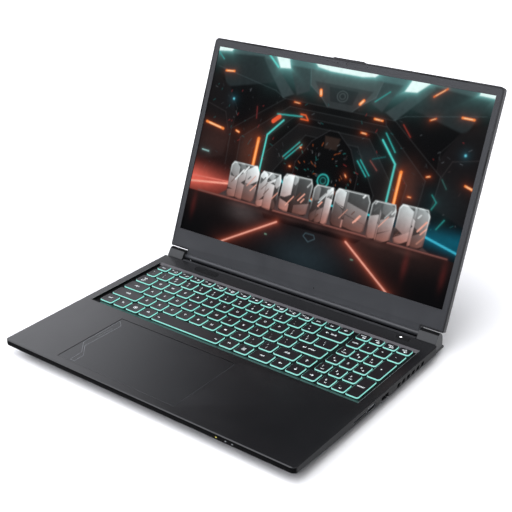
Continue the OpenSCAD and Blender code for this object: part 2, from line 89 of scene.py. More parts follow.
R = rot(37.89, 25.65, -1.04)
cam_data = bpy.data.cameras.new("camera")
cam_data.sensor_width = 36
cam_data.lens = 1025.75 / 512 * 36
cam_data.clip_start, cam_data.clip_end = 0.05, 30
cam = bpy.data.objects.new("camera", cam_data)
scene.collection.objects.link(cam)
c = R.T @ np.array([111.27, 128.88, 937.9])
m = Matrix([[R[j][i] for j in range(3)] for i in range(3)]).to_4x4()
m.translation = D(*c)
cam.matrix_world = m
scene.camera = cam
scene.view_settings.view_transform = "Standard"
scene.view_settings.look = "None"


# ------------------------------------------------------------------ materials
def lin(c):
    """sRGB 0-255 to linear."""
    out = []
    for v in c:
        v = v / 255
        out.append(v / 12.92 if v <= 0.04045 else ((v + 0.055) / 1.055) ** 2.4)
    return tuple(out) + (1.0,)


class Mat:
    """A small builder for node materials."""

    def __init__(self, name, **sockets):
        self.m = bpy.data.materials.new(name)
        self.m.use_nodes = True
        self.t = self.m.node_tree
        self.t.nodes.clear()
        self.out = self.t.nodes.new("ShaderNodeOutputMaterial")
        self.b = self.t.nodes.new("ShaderNodeBsdfPrincipled")
        self.link(self.b, "BSDF", self.out, "Surface")
        self.pos = self.t.nodes.new("ShaderNodeNewGeometry")
        self.tc = self.t.nodes.new("ShaderNodeTexCoord")
        for k, v in sockets.items():
            self.b.inputs[k.replace("_", " ")].default_value = v

    def link(self, a, sa, b, sb):
        self.t.links.new(a.outputs[sa], b.inputs[sb])

    def node(self, kind, **props):
        n = self.t.nodes.new(kind)
        for k, v in props.items():
            setattr(n, k, v)
        return n

    def noise(self, scale, detail=2.0, rough=0.5, stretch=None, dist=0.0):
        n = self.node("ShaderNodeTexNoise")
        n.inputs["Scale"].default_value = scale
        n.inputs["Detail"].default_value = detail
        n.inputs["Roughness"].default_value = rough
        n.inputs["Distortion"].default_value = dist
        if stretch:
            mp = self.node("ShaderNodeMapping")
            mp.inputs["Scale"].default_value = stretch
            self.link(self.tc, "Object", mp, "Vector")
            self.link(mp, "Vector", n, "Vector")
        else:
            self.link(self.tc, "Object", n, "Vector")
        return n

    def ramp(self, src, out, stops):
        r = self.node("ShaderNodeValToRGB")
        e = r.color_ramp.elements
        while len(e) < len(stops):
            e.new(0.5)
        for el, (p, c) in zip(e, stops):
            el.position = p
            el.color = c if len(c) == 4 else tuple(c) + (1,)
        self.link(src, out, r, "Fac")
        return r

    def map(self, src, out, lo, hi, a=0.0, b=1.0):
        n = self.node("ShaderNodeMapRange")
        n.inputs["From Min"].default_value = a
        n.inputs["From Max"].default_value = b
        n.inputs["To Min"].default_value = lo
        n.inputs["To Max"].default_value = hi
        self.link(src, out, n, "Value")
        return n

    def mix(self, fac, fac_out, a, b):
        n = self.node("ShaderNodeMix", data_type="RGBA")
        if isinstance(fac, float):
            n.inputs[0].default_value = fac
        else:
            self.link(fac, fac_out, n, 0)
        for i, v in ((6, a), (7, b)):
            if isinstance(v, tuple) and not hasattr(v[0], "outputs"):
                n.inputs[i].default_value = v
            else:
                self.t.links.new(v[0].outputs[v[1]], n.inputs[i])
        return n

    def bump(self, parts, strength=1.0):
        """parts: (node, output, distance in mm)"""
        last = None
        for n, o, dist in parts:
            b = self.node("ShaderNodeBump")
            b.inputs["Strength"].default_value = strength
            b.inputs["Distance"].default_value = dist * MM
            self.link(n, o, b, "Height")
            if last is not None:
                self.link(last, "Normal", b, "Normal")
            last = b
        self.link(last, "Normal", self.b, "Normal")
        return last


def moulded(name, rgb, rough=0.45, grain=2600, depth=0.02, vary=0.12, wear_and_edge_highlight=0.25, spec=0.5, edge=None, smudge=0.06, coat=0.0):
    """Fine moulded or sprayed plastic: grain in bump and roughness, faint colour drift, and paler edges that are partly
    worn plastic and partly a painted highlight.
    """
    s = Mat(name)
    base = lin(rgb)
    dark = tuple(v * (1 - vary) for v in base[:3]) + (1,)
    lite = tuple(v * (1 + vary) for v in base[:3]) + (1,)
    n1 = s.noise(9, 3, 0.6)
    n2 = s.noise(grain, 2, 0.6)
    n3 = s.noise(38, 4, 0.65, dist=0.4)
    col = s.mix(n1, "Fac", dark, lite)
    grit = s.map(n2, "Fac", 0.82, 1.18, 0.25, 0.75)
    mul = s.node("ShaderNodeMix", data_type="RGBA", blend_type="MULTIPLY")
    mul.inputs[0].default_value = 1.0
    s.link(col, 2, mul, 6)
    comb = s.node("ShaderNodeCombineColor")
    for k in ("Red", "Green", "Blue"):
        s.link(grit, "Result", comb, k)
    s.link(comb, "Color", mul, 7)
    # the paler edge colour, mixed in by pointiness, is partly wear and partly a painted highlight along the edges
    e = edge if edge else tuple(min(1, v * 1.9 + 0.01) for v in base[:3]) + (1,)
    geo = s.node("ShaderNodeNewGeometry")
    pt = s.map(geo, "Pointiness", 0.0, wear_and_edge_highlight, 0.52, 0.6)
    wn = s.node("ShaderNodeMath", operation="MULTIPLY")
    s.link(pt, "Result", wn, 0)
    s.link(n3, "Fac", wn, 1)
    fin = s.mix(wn, "Value", (mul, 2), e)
    s.link(fin, 2, s.b, "Base Color")
    r = s.map(n3, "Fac", rough - smudge, rough + smudge, 0.3, 0.7)
    s.link(r, "Result", s.b, "Roughness")
    s.b.inputs["Specular IOR Level"].default_value = spec
    if coat:
        s.b.inputs["Coat Weight"].default_value = coat
        s.b.inputs["Coat Roughness"].default_value = 0.3
    s.bump([(n2, "Fac", depth), (n3, "Fac", depth * 0.6)], 0.8)
    return s.m


def metal(name, rgb, rough=0.3, brush=(1, 120, 1), depth=0.004, aniso=0.0):
    s = Mat(name, Metallic=1.0)
    base = lin(rgb)
    n1 = s.noise(60, 4, 0.6, stretch=brush)
    n2 = s.noise(14, 3, 0.6)
    col = s.mix(n1, "Fac", tuple(v * 0.82 for v in base[:3]) + (1,), tuple(min(1, v * 1.14) for v in base[:3]) + (1,))
    s.link(col, 2, s.b, "Base Color")
    r = s.map(n2, "Fac", rough * 0.8, rough * 1.25, 0.3, 0.7)
    s.link(r, "Result", s.b, "Roughness")
    s.bump([(n1, "Fac", depth)], 0.6)
    return s.m


def glow(name, rgb_a, rgb_b, strength, scale=40, base=(30, 60, 58), rough=0.35):
    """A lit translucent moulding: its colour and brightness drift a little along it."""
    s = Mat(name)
    n = s.noise(scale, 3, 0.6)
    col = s.mix(n, "Fac", lin(rgb_a), lin(rgb_b))
    s.b.inputs["Base Color"].default_value = lin(base)
    s.link(col, 2, s.b, "Emission Color")
    s.b.inputs["Emission Strength"].default_value = strength
    g = s.noise(2500, 2, 0.5)
    r = s.map(g, "Fac", rough - 0.05, rough + 0.08)
    s.link(r, "Result", s.b, "Roughness")
    s.bump([(g, "Fac", 0.01)], 0.5)
    return s.m


M = {}
# painted highlight: the deck's pale edge colour (84, 85, 88) along its bevelled edges
M["deck"] = moulded("deck_plastic", (13, 13, 15), rough=0.25, grain=2400, depth=0.006, wear_and_edge_highlight=0.5, spec=0.5, edge=lin((84, 85, 88)), smudge=0.02)
# painted shade: the side walls' copy of the deck plastic reflects less and more roughly, so they read darker; its pale
# edge colour is the same painted highlight
M["side"] = moulded("deck_side_painted_shade", (13, 13, 14), rough=0.5, grain=2400, depth=0.01, wear_and_edge_highlight=0.5, spec=0.15, edge=lin((84, 85, 88)), smudge=0.03)
M["under"] = moulded("underside_plastic", (22, 22, 24), rough=0.6, grain=1500, depth=0.05, wear_and_edge_highlight=0.3, spec=0.35)
M["shroud"] = moulded("shroud_plastic", (15, 15, 17), rough=0.5, grain=2200, depth=0.02, wear_and_edge_highlight=0.2, spec=0.25)
M["rubber"] = moulded("rubber", (24, 24, 25), rough=0.82, grain=1300, depth=0.03, wear_and_edge_highlight=0.1, spec=0.3)
M["screws"] = metal("black_screws", (60, 60, 62), rough=0.38, brush=(1, 1, 1))
M["plate"] = moulded("key_plate", (6, 6, 7), rough=0.6, grain=1800, depth=0.01, wear_and_edge_highlight=0.1, spec=0.1)
M["guide"] = glow("light_guide", (90, 200, 186), (130, 225, 212), 0.06)
M["cap"] = moulded("keycap_plastic", (15, 14, 18), rough=0.36, grain=3200, depth=0.01, wear_and_edge_highlight=0.3, smudge=0.05, spec=0.42)
M["skirt"] = glow("key_skirt", (116, 218, 204), (172, 238, 229), 1.0, scale=22)
M["legend"] = glow("key_legend", (196, 206, 210), (240, 244, 246), 0.6, scale=90, base=(200, 210, 210))
M["pcb"] = moulded("circuit_board", (18, 70, 44), rough=0.35, grain=900, depth=0.02, wear_and_edge_highlight=0.1)
M["battery"] = moulded("battery_wrap", (34, 34, 36), rough=0.4, grain=500, depth=0.03, wear_and_edge_highlight=0.1)
M["inner"] = moulded("inner_plastic", (32, 33, 36), rough=0.5, grain=1800, depth=0.02, wear_and_edge_highlight=0.3)
M["copper"] = metal("copper", (196, 118, 76), rough=0.32)
M["fins"] = metal("fin_metal", (176, 178, 182), rough=0.35)
M["steel"] = metal("steel", (150, 151, 155), rough=0.34)
M["nickel"] = metal("nickel", (160, 162, 166), rough=0.28)
M["pad"] = moulded("touch_surface", (17, 18, 20), rough=0.26, grain=5200, depth=0.0012, vary=0.04, wear_and_edge_highlight=0.2, smudge=0.012, spec=0.45)
M["button"] = moulded("button_plastic", (12, 12, 13), rough=0.35, grain=2600, depth=0.01, wear_and_edge_highlight=0.5, spec=0.3)
M["lid"] = moulded("lid_plastic", (24, 24, 26), rough=0.42, grain=2400, depth=0.014, vary=0.04, wear_and_edge_highlight=0.4, smudge=0.02, spec=0.35)
M["bezel"] = moulded("bezel_plastic", (42, 43, 46), rough=0.42, grain=2600, depth=0.012, wear_and_edge_highlight=0.4, spec=0.4)
M["lens"] = moulded("lens_plastic", (10, 10, 12), rough=0.12, grain=400, depth=0.001, wear_and_edge_highlight=0.0)
M["dark"] = moulded("dark_plastic", (9, 9, 10), rough=0.55, grain=1800, depth=0.02, wear_and_edge_highlight=0.1, spec=0.2)
# near black and barely reflective: painted shade that darkens the deck's front face
M["band"] = moulded("front_band_painted_shade", (5, 5, 6), rough=0.6, grain=2200, depth=0.008, wear_and_edge_highlight=0.0, spec=0.03)
# near black and matt: painted shade, used in the gap under the lid's barrel and in the perforation holes
M["felt"] = moulded("black_painted_shade", (3, 3, 3), rough=0.9, grain=1400, depth=0.03, wear_and_edge_highlight=0.0, spec=0.0)
# paler than the deck: painted highlight for the lit bevel behind the top row of keys
M["bevel"] = moulded("well_bevel_painted_highlight", (56, 53, 57), rough=0.45, grain=2400, depth=0.008, wear_and_edge_highlight=0.1, spec=0.4)
M["line"] = moulded("etched_line", (112, 115, 119), rough=0.5, grain=2200, depth=0.004, wear_and_edge_highlight=0.1, spec=0.4)
# paler than the pad: painted highlight on the touchpad's front and right edges
M["pad_edge"] = moulded("pad_edge_painted_highlight", (52, 53, 56), rough=0.4, grain=2200, depth=0.004, wear_and_edge_highlight=0.1, spec=0.4)
# pale grey-teal: painted highlight on the keyboard well's side edges
M["rim"] = moulded("well_edge_painted_highlight", (84, 92, 92), rough=0.35, grain=2200, depth=0.004, wear_and_edge_highlight=0.1, spec=0.5)
M["led_w"] = glow("led_white", (238, 244, 255), (255, 255, 255), 3.0, scale=300, base=(220, 220, 220))
M["led_y"] = glow("led_amber", (196, 178, 60), (226, 206, 96), 1.0, scale=300, base=(160, 150, 60))
M["led_d"] = glow("led_dim", (120, 124, 128), (150, 154, 158), 0.6, scale=300, base=(110, 112, 116))


M["hinge"] = moulded("hinge_plastic", (44, 45, 46), rough=0.4, grain=2600, depth=0.012, wear_and_edge_highlight=0.3, spec=0.3)
# near black and barely reflective: painted shade for the hinge covers' rolled tops under the lid
M["hinge_top"] = moulded("hinge_top_painted_shade", (7, 7, 8), rough=0.6, grain=2600, depth=0.012, wear_and_edge_highlight=0.1, spec=0.06)


def dress(node, mat, bevel=None, segs=2):
    o = NODES[node]
    o.data.materials.clear()
    o.data.materials.append(mat)
    if bevel:
        w = o.modifiers.new("weld", "WELD")
        w.merge_threshold = 2e-6
        b = o.modifiers.new("bevel", "BEVEL")
        b.width = bevel * MM
        b.segments = segs
        b.limit_method = "ANGLE"
        b.angle_limit = math.radians(32)
        b.use_clamp_overlap = True
        b.harden_normals = True
        b.miter_outer = "MITER_ARC"


DRESS = {
    "top_case": ("deck", 0.3), "bottom_cover": ("under", 0.25), "rear_shroud": ("shroud", 0.3), "rubber_feet": ("rubber", 0.4),
    "bottom_screws": ("screws", None), "keyboard_plate": ("plate", None), "keyboard_backlight": ("guide", None),
    "mainboard": ("pcb", None), "battery_pack": ("battery", 0.4), "left_fan_housing": ("inner", 0.2), "right_fan_housing": ("inner", 0.2),
    "left_fan_impeller": ("inner", None), "right_fan_impeller": ("inner", None), "heat_pipes": ("copper", 0.6), "fin_stacks": ("fins", None),
    "solid_state_drive": ("pcb", None), "memory_modules": ("pcb", None), "wireless_card": ("pcb", None), "speakers": ("inner", 0.4),
    "usb_a_ports": ("nickel", 0.08), "card_reader": ("nickel", 0.08), "ethernet_port": ("dark", 0.1), "ethernet_jaw": ("inner", 0.15),
    "audio_jacks": ("dark", 0.15), "power_inlet": ("dark", 0.1), "video_ports": ("nickel", 0.08), "touchpad_bracket": ("steel", 0.1),
    "power_button": ("button", 0.25), "hinge_brackets": ("steel", 0.2), "hinge_covers": ("hinge", 0.2), "lid_cover": ("lid", 0.35),
    "screen_bezel": ("bezel", 0.15), "lcd_panel": ("lens", None), "webcam_module": ("lens", 0.2), "lid_bumpers": ("rubber", 0.15),
    "hinge_arms": ("steel", 0.2), "display_cable": ("dark", 0.1), "touchpad": ("pad", 0.15),
}
for n, (mt, bv) in DRESS.items():
    dress(n, M[mt], bv)

# the deck's side walls and port pockets get a copy of its plastic with weaker, rougher reflection: painted shade that
# makes them read darker than its top
me = NODES["top_case"].data
me.materials.append(M["side"])
me.polygons.foreach_set("material_index", np.array([0 if p.normal.z > 0.3 else 1 for p in me.polygons], np.int32))
# painted shade: the rolled tops of the hinge covers are near black, darker than their fronts, as if shaded by the lid
# above them
me = NODES["hinge_covers"].data
me.materials.append(M["hinge_top"])
me.polygons.foreach_set("material_index", np.array([1 if p.center.y > D(0, 248.85)[1] and abs(p.normal.x) < 0.5 else 0 for p in me.polygons], np.int32))
# the lid's barrel is moulded in the frame's grey
me = NODES["lid_cover"].data
me.materials.append(M["bezel"])
pick = []
for p in me.polygons:
    q = Vector(p.center) - L(0, 0, 0)
    pick.append(1 if q.dot(LID_V) < -3.2 * MM and q.dot(LID_N) > -3.2 * MM and abs(q.x) < 0.1546 else 0)
me.polygons.foreach_set("material_index", np.array(pick, np.int32))


# ------------------------------------------------------------------ mesh helpers
def put(name, verts, faces, mats, body, idx=None, slot=None, smooth=True, replaces=()):
    me = bpy.data.meshes.new(name)
    me.from_pydata([tuple(v) for v in verts], [], faces)
    for mt in mats:
        me.materials.append(mt)
    if idx is not None:
        me.polygons.foreach_set("material_index", np.array(idx, np.int32))
    if smooth:
        me.shade_smooth()
    me.validate()
    me.update()
    o = bpy.data.objects.new(name, me)
    scene.collection.objects.link(o)
    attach(o, body)
    if replaces:
        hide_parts(*replaces)
    return o


def sharp(o, deg=35):
    """Smooth shading that breaks at edges sharper than deg."""
    me = o.data
    bm = bmesh.new()
    bm.from_mesh(me)
    for e in bm.edges:
        e.smooth = len(e.link_faces) == 2 and e.calc_face_angle(0) < math.radians(deg)
    bm.to_mesh(me)
    bm.free()
    return o


def loop_round(x0, y0, x1, y1, r, n=5):
    pts = []
    for cx, cy, a0 in ((x1 - r, y0 + r, -90), (x1 - r, y1 - r, 0), (x0 + r, y1 - r, 90), (x0 + r, y0 + r, 180)):
        for i in range(n + 1):
            a = math.radians(a0 + 90 * i / n)
            pts.append((cx + r * math.cos(a), cy + r * math.sin(a)))
    return pts


class Bag:
    """Collects vertices and faces of many closed pieces into one mesh."""

    def __init__(self, to):
        self.to, self.v, self.f, self.i = to, [], [], []

    def loops(self, rings, mats, cap0=True, cap1=True, m0=0, m1=0):
        """rings: lists of (x, y, z) with the same count; mats: material of each band."""
        n, base = len(rings[0]), len(self.v)
        for ring in rings:
            self.v += [self.to(*p) for p in ring]
        for k in range(len(rings) - 1):
            for j in range(n):
                a = base + k * n + j
                b = base + k * n + (j + 1) % n
                self.f.append((a, b, b + n, a + n))
                self.i.append(mats[k])
        if cap0:
            self.f.append(tuple(base + j for j in reversed(range(n))))
            self.i.append(m0)
        if cap1:
            top = base + (len(rings) - 1) * n
            cx = sum(p[0] for p in rings[-1]) / n
            cy = sum(p[1] for p in rings[-1]) / n
            self.f.append(tuple(top + j for j in range(n)))
            self.i.append(m1)

    def prism(self, pts, z0, z1, mat=0, edge=0.0):
        if edge:
            cx = sum(p[0] for p in pts) / len(pts)
            cy = sum(p[1] for p in pts) / len(pts)
            def inset(d):
                out = []
                n = len(pts)
                for i in range(n):
                    p, a, b = Vector(pts[i]), Vector(pts[i - 1]), Vector(pts[(i + 1) % n])
                    d1, d2 = (p - a).normalized(), (b - p).normalized()
                    n1, n2 = Vector((-d1.y, d1.x)), Vector((-d2.y, d2.x))
                    bis = (n1 + n2)
                    bis = bis / max(0.3, bis.length_squared / 2) / 1.0
                    out.append(tuple(p + bis * d * 0.5 * 1.0 * 1.0 if bis.length else p))
                return out
            ins = inset(edge)
            self.loops([[(x, y, z0) for x, y in pts], [(x, y, z1 - edge) for x, y in pts], [(x, y, z1) for x, y in ins]], [mat, mat], m0=mat, m1=mat)
        else:
            self.loops([[(x, y, z0) for x, y in pts], [(x, y, z1) for x, y in pts]], [mat], m0=mat, m1=mat)

    def make(self, name, mats, body, **kw):
        return put(name, self.v, self.f, mats, body, idx=self.i, **kw)


def islands(node):
    """Boxes of a CAD node's separate solids, in deck millimetres, as (x0, y0, x1, y1, z0, z1)."""
    me = NODES[node].data
    n = len(me.vertices)
    co = np.empty(n * 3)
    me.vertices.foreach_get("co", co)
    co = co.reshape(-1, 3)
    key, idx = {}, np.empty(n, int)
    for i, p in enumerate(np.round(co * 1e6).astype(int)):
        idx[i] = key.setdefault(tuple(p), len(key))
    parent = list(range(len(key)))

    def find(a):
        while parent[a] != a:
            parent[a] = parent[parent[a]]
            a = parent[a]
        return a

    for pl in me.polygons:
        vs = [find(idx[v]) for v in pl.vertices]
        for v in vs[1:]:
            parent[find(v)] = find(vs[0])
    groups = {}
    for i in range(n):
        groups.setdefault(find(idx[i]), []).append(i)
    out = []
    for g in groups.values():
        p = co[g]
        lo, hi = p.min(0), p.max(0)
        out.append(tuple(round(float(v), 3) for v in ((lo[0]) / MM, (lo[1] - Y0) / MM, hi[0] / MM, (hi[1] - Y0) / MM, (lo[2] - Z0) / MM, (hi[2] - Z0) / MM)))
    return out


# ------------------------------------------------------------------ keycaps
_glyphs = {}


def glyph(text):
    """A flat outline mesh of some text, one unit high capitals, centred, as (points, faces)."""
    if text in _glyphs:
        return _glyphs[text]
    cu = bpy.data.curves.new("glyph", "FONT")
    cu.body = text
    cu.resolution_u = 2
    cu.size = 1.0
    cu.offset = 0.004
    ob = bpy.data.objects.new("glyph", cu)
    scene.collection.objects.link(ob)
    dg = bpy.context.evaluated_depsgraph_get()
    me = ob.evaluated_get(dg).to_mesh()
    pts = [(v.co.x, v.co.y) for v in me.vertices]
    fcs = [tuple(p.vertices) for p in me.polygons]
    ob.evaluated_get(dg).to_mesh_clear()
    bpy.data.objects.remove(ob)
    bpy.data.curves.remove(cu)
    # clean the outline: weld it and turn its faces up, so that it extrudes to a closed solid
    bm = bmesh.new()
    vs = [bm.verts.new((x, y, 0)) for x, y in pts]
    for f in fcs:
        if len(set(f)) > 2:
            try:
                bm.faces.new([vs[i] for i in f])
            except ValueError:
                pass
    bmesh.ops.remove_doubles(bm, verts=bm.verts, dist=1e-4)
    bmesh.ops.recalc_face_normals(bm, faces=bm.faces)
    if bm.faces and sum(f.normal.z for f in bm.faces) < 0:
        bmesh.ops.reverse_faces(bm, faces=bm.faces)
    bm.verts.index_update()
    xs = [v.co.x for v in bm.verts] or [0]
    ys = [v.co.y for v in bm.verts] or [0]
    cx = (min(xs) + max(xs)) / 2
    res = ([(v.co.x - cx, v.co.y) for v in bm.verts], [tuple(v.index for v in f.verts) for f in bm.faces],
           [tuple(v.index for v in (l.vert, l.link_loop_next.vert)) for e in bm.edges if len(e.link_loops) == 1 for l in e.link_loops],
           (max(xs) - min(xs), min(ys), max(ys)))
    bm.free()
    _glyphs[text] = res
    return res


def add_text(bag, text, x, y, size, z, mat, thick=0.03, align=0.0, zf=None):
    """Raised lettering on a keycap: closed thin solids. x, y is the middle of the base line."""
    pts, fcs, rim, (w, lo, hi) = glyph(text)
    base = len(bag.v)
    n = len(pts)
    for dz in (-0.02, thick):
        for px, py in pts:
            X, Y = x + (px + align * w) * size, y + py * size
            bag.v.append(bag.to(X, Y, (zf(X, Y) if zf else z) + dz))
    for f in fcs:
        bag.f.append(tuple(base + n + i for i in f))
        bag.i.append(mat)
        bag.f.append(tuple(base + i for i in reversed(f)))
        bag.i.append(mat)
    for a, b in rim:
        bag.f.append((base + a, base + b, base + n + b, base + n + a))
        bag.i.append(mat)


def line(bag, x0, y0, x1, y1, wd, z, mat, thick=0.03):
    d = Vector((x1 - x0, y1 - y0))
    if d.length < 1e-6:
        return
    nrm = Vector((-d.y, d.x)).normalized() * wd / 2
    pts = [(x0 - nrm.x, y0 - nrm.y), (x1 - nrm.x, y1 - nrm.y), (x1 + nrm.x, y1 + nrm.y), (x0 + nrm.x, y0 + nrm.y)]
    if (pts[1][0] - pts[0][0]) * (pts[2][1] - pts[1][1]) - (pts[1][1] - pts[0][1]) * (pts[2][0] - pts[1][0]) < 0:
        pts.reverse()
    bag.prism(pts, z - 0.02, z + thick, mat)


TOP = 0.2


def cap_mesh(bag, b, legend):
    x0, y0, x1, y1 = b[:4]
    z0, z1 = b[4], b[5]
    r = 2.3
    def ring(ins, z, rr):
        return [(x, y, z) for x, y in loop_round(x0 + ins, y0 + ins, x1 - ins, y1 - ins, rr, 6)]
    rings = [
        ring(0.6, z0, r - 0.6), ring(0.0, z0 + 0.06, r), ring(-0.12, z0 + 0.2, r + 0.1), ring(0.1, z1 - 0.3, r - 0.05),
        ring(0.3, z1 - 0.2, r - 0.2), ring(0.36, z1 - 0.13, r - 0.25), ring(0.46, z1 - 0.05, r - 0.3), ring(0.7, z1 - 0.005, r - 0.45),
        ring(1.5, z1 - 0.02, max(0.5, r - 1.0)), ring(2.8, z1 - 0.085, 0.6), ring(4.0, z1 - 0.12, 0.4),
    ]
    bag.loops(rings, [1, 1, 1, 1, 0, 0, 0, 0, 0, 0], m0=1, m1=0)


LEG = {
    "escape_key": ["esc"],
    "backspace_key": ["<bksp"], "tab_key": ["<tab"], "caps_lock_key": ["caps"], "enter_key": ["<enter"],
    "left_shift_key": ["shift"], "right_shift_key": ["shift"], "space_key": ["<space"],
    "arrow_left_key": ["<l"], "arrow_up_key": ["<u"], "arrow_down_key": ["<d"], "arrow_right_key": ["<r"],
    "numpad_plus_key": ["+"], "numpad_enter_key": ["enter"],
    "function_keys": ["F1", "F2", "F3", "F4", "F5", "F6", "F7", "F8", "F9", "F10", "F11", "F12", "prt", "ins", "del", "home", "end", "pgup", "pgdn"],
    "number_keys": ["~`", "!1", "@2", "#3", "$4", "%5", "^6", "&7", "*8", "(9", ")0", "_-", "+="],
    "letter_keys_top": list("QWERTYUIOP") + ["{[", "}]", "|\\"],
    "letter_keys_home": list("ASDFGHJKL") + [":;", "\"'"],
    "letter_keys_bottom": list("ZXCVBNM") + ["<,", ">.", "?/"],
    "modifier_keys": ["ctrl", "fn", "<menu4", "alt", "alt", "<menu", "ctrl"],
}


def zig(bag, pts, wd, z, m=2, close=False):
    q = list(pts) + ([pts[0]] if close else [])
    for a, b in zip(q, q[1:]):
        line(bag, *a, *b, wd, z, m)


def arc_pts(cx, cy, r, a0, a1, n=12):
    return [(cx + r * math.cos(math.radians(a0 + (a1 - a0) * i / n)), cy + r * math.sin(math.radians(a0 + (a1 - a0) * i / n))) for i in range(n + 1)]


def icon(bag, k, x, y, z, m=2):
    """Generic control marks: sun, speaker, moon, screen, pad, play and so on."""
    w = 0.42
    if k in ("sun", "sun2"):
        zig(bag, arc_pts(x, y, 0.8, 0, 360, 10), w, z, m)
        for a in range(0, 360, 60):
            c, sn = math.cos(math.radians(a)), math.sin(math.radians(a))
            line(bag, x + 1.35 * c, y + 1.35 * sn, x + (2.1 if k == "sun" else 1.8) * c, y + (2.1 if k == "sun" else 1.8) * sn, w, z, m)
    elif k in ("vol", "vol2", "mute"):
        bag.prism([(x - 1.9, y - 0.6), (x - 1.0, y - 0.6), (x + 0.1, y - 1.6), (x + 0.1, y + 1.6), (x - 1.0, y + 0.6), (x - 1.9, y + 0.6)], z - 0.02, z + 0.03, m)
        if k != "mute":
            zig(bag, arc_pts(x + 0.2, y, 1.1, -50, 50, 6), w, z, m)
        if k == "vol2":
            zig(bag, arc_pts(x + 0.2, y, 1.9, -50, 50, 6), w, z, m)
        if k == "mute":
            line(bag, x + 0.8, y - 0.8, x + 2.2, y + 0.8, w, z, m)
            line(bag, x + 0.8, y + 0.8, x + 2.2, y - 0.8, w, z, m)
    elif k == "moon":
        zig(bag, arc_pts(x, y, 1.5, 60, 300, 12) + arc_pts(x + 0.7, y, 1.3, 270, 90, 8), w, z, m)
    elif k in ("lcd", "lcd2"):
        zig(bag, [(x - 2, y - 1), (x + 2, y - 1), (x + 2, y + 1.6), (x - 2, y + 1.6)], w, z, m, True)
        line(bag, x - 1.1, y - 1.7, x + 1.1, y - 1.7, w, z, m)
        if k == "lcd2":
            line(bag, x - 1, y + 0.3, x + 1, y + 0.3, w, z, m)
    elif k == "pad":
        zig(bag, [(x - 1.9, y - 1.4), (x + 1.9, y - 1.4), (x + 1.9, y + 1.4), (x - 1.9, y + 1.4)], w, z, m, True)
        line(bag, x, y - 1.4, x, y - 0.4, w, z, m)
        line(bag, x - 1.9, y - 0.4, x + 1.9, y - 0.4, w, z, m)
    elif k == "fan":
        for a in (90, 210, 330):
            zig(bag, arc_pts(x + 0.9 * math.cos(math.radians(a)), y + 0.9 * math.sin(math.radians(a)), 0.9, a - 120, a + 60, 7), w, z, m)
    elif k == "play":
        zig(bag, [(x - 1.9, y - 1.2), (x - 1.9, y + 1.2), (x - 0.1, y)], w, z, m, True)
        line(bag, x + 0.7, y - 1.2, x + 0.7, y + 1.2, w, z, m)
        line(bag, x + 1.7, y - 1.2, x + 1.7, y + 1.2, w, z, m)
    elif k in ("prev", "next"):
        d = -1 if k == "prev" else 1
        for o in (-1.0, 0.7):
            zig(bag, [(x + d * o, y - 1.2), (x + d * o, y + 1.2), (x + d * (o + 1.4), y)], w, z, m, True)
    elif k == "cam":
        zig(bag, [(x - 2, y - 1.2), (x + 0.7, y - 1.2), (x + 0.7, y + 1.2), (x - 2, y + 1.2)], w, z, m, True)
        zig(bag, [(x + 0.9, y), (x + 2.1, y + 1), (x + 2.1, y - 1)], w, z, m, True)
    elif k == "plane":
        zig(bag, [(x - 1.8, y - 1.2), (x + 0.2, y - 0.4), (x + 2, y + 0.9), (x - 0.2, y + 0.5), (x - 1.8, y - 1.2)], w, z, m)


ROW_ICON = {"F1": "fan", "F2": "plane", "F3": "sun2", "F4": "sun", "F5": "lcd", "F6": "lcd2", "F7": "mute", "F8": "vol", "F9": "vol2", "F10": "pad", "F11": "moon", "F12": "cam"}


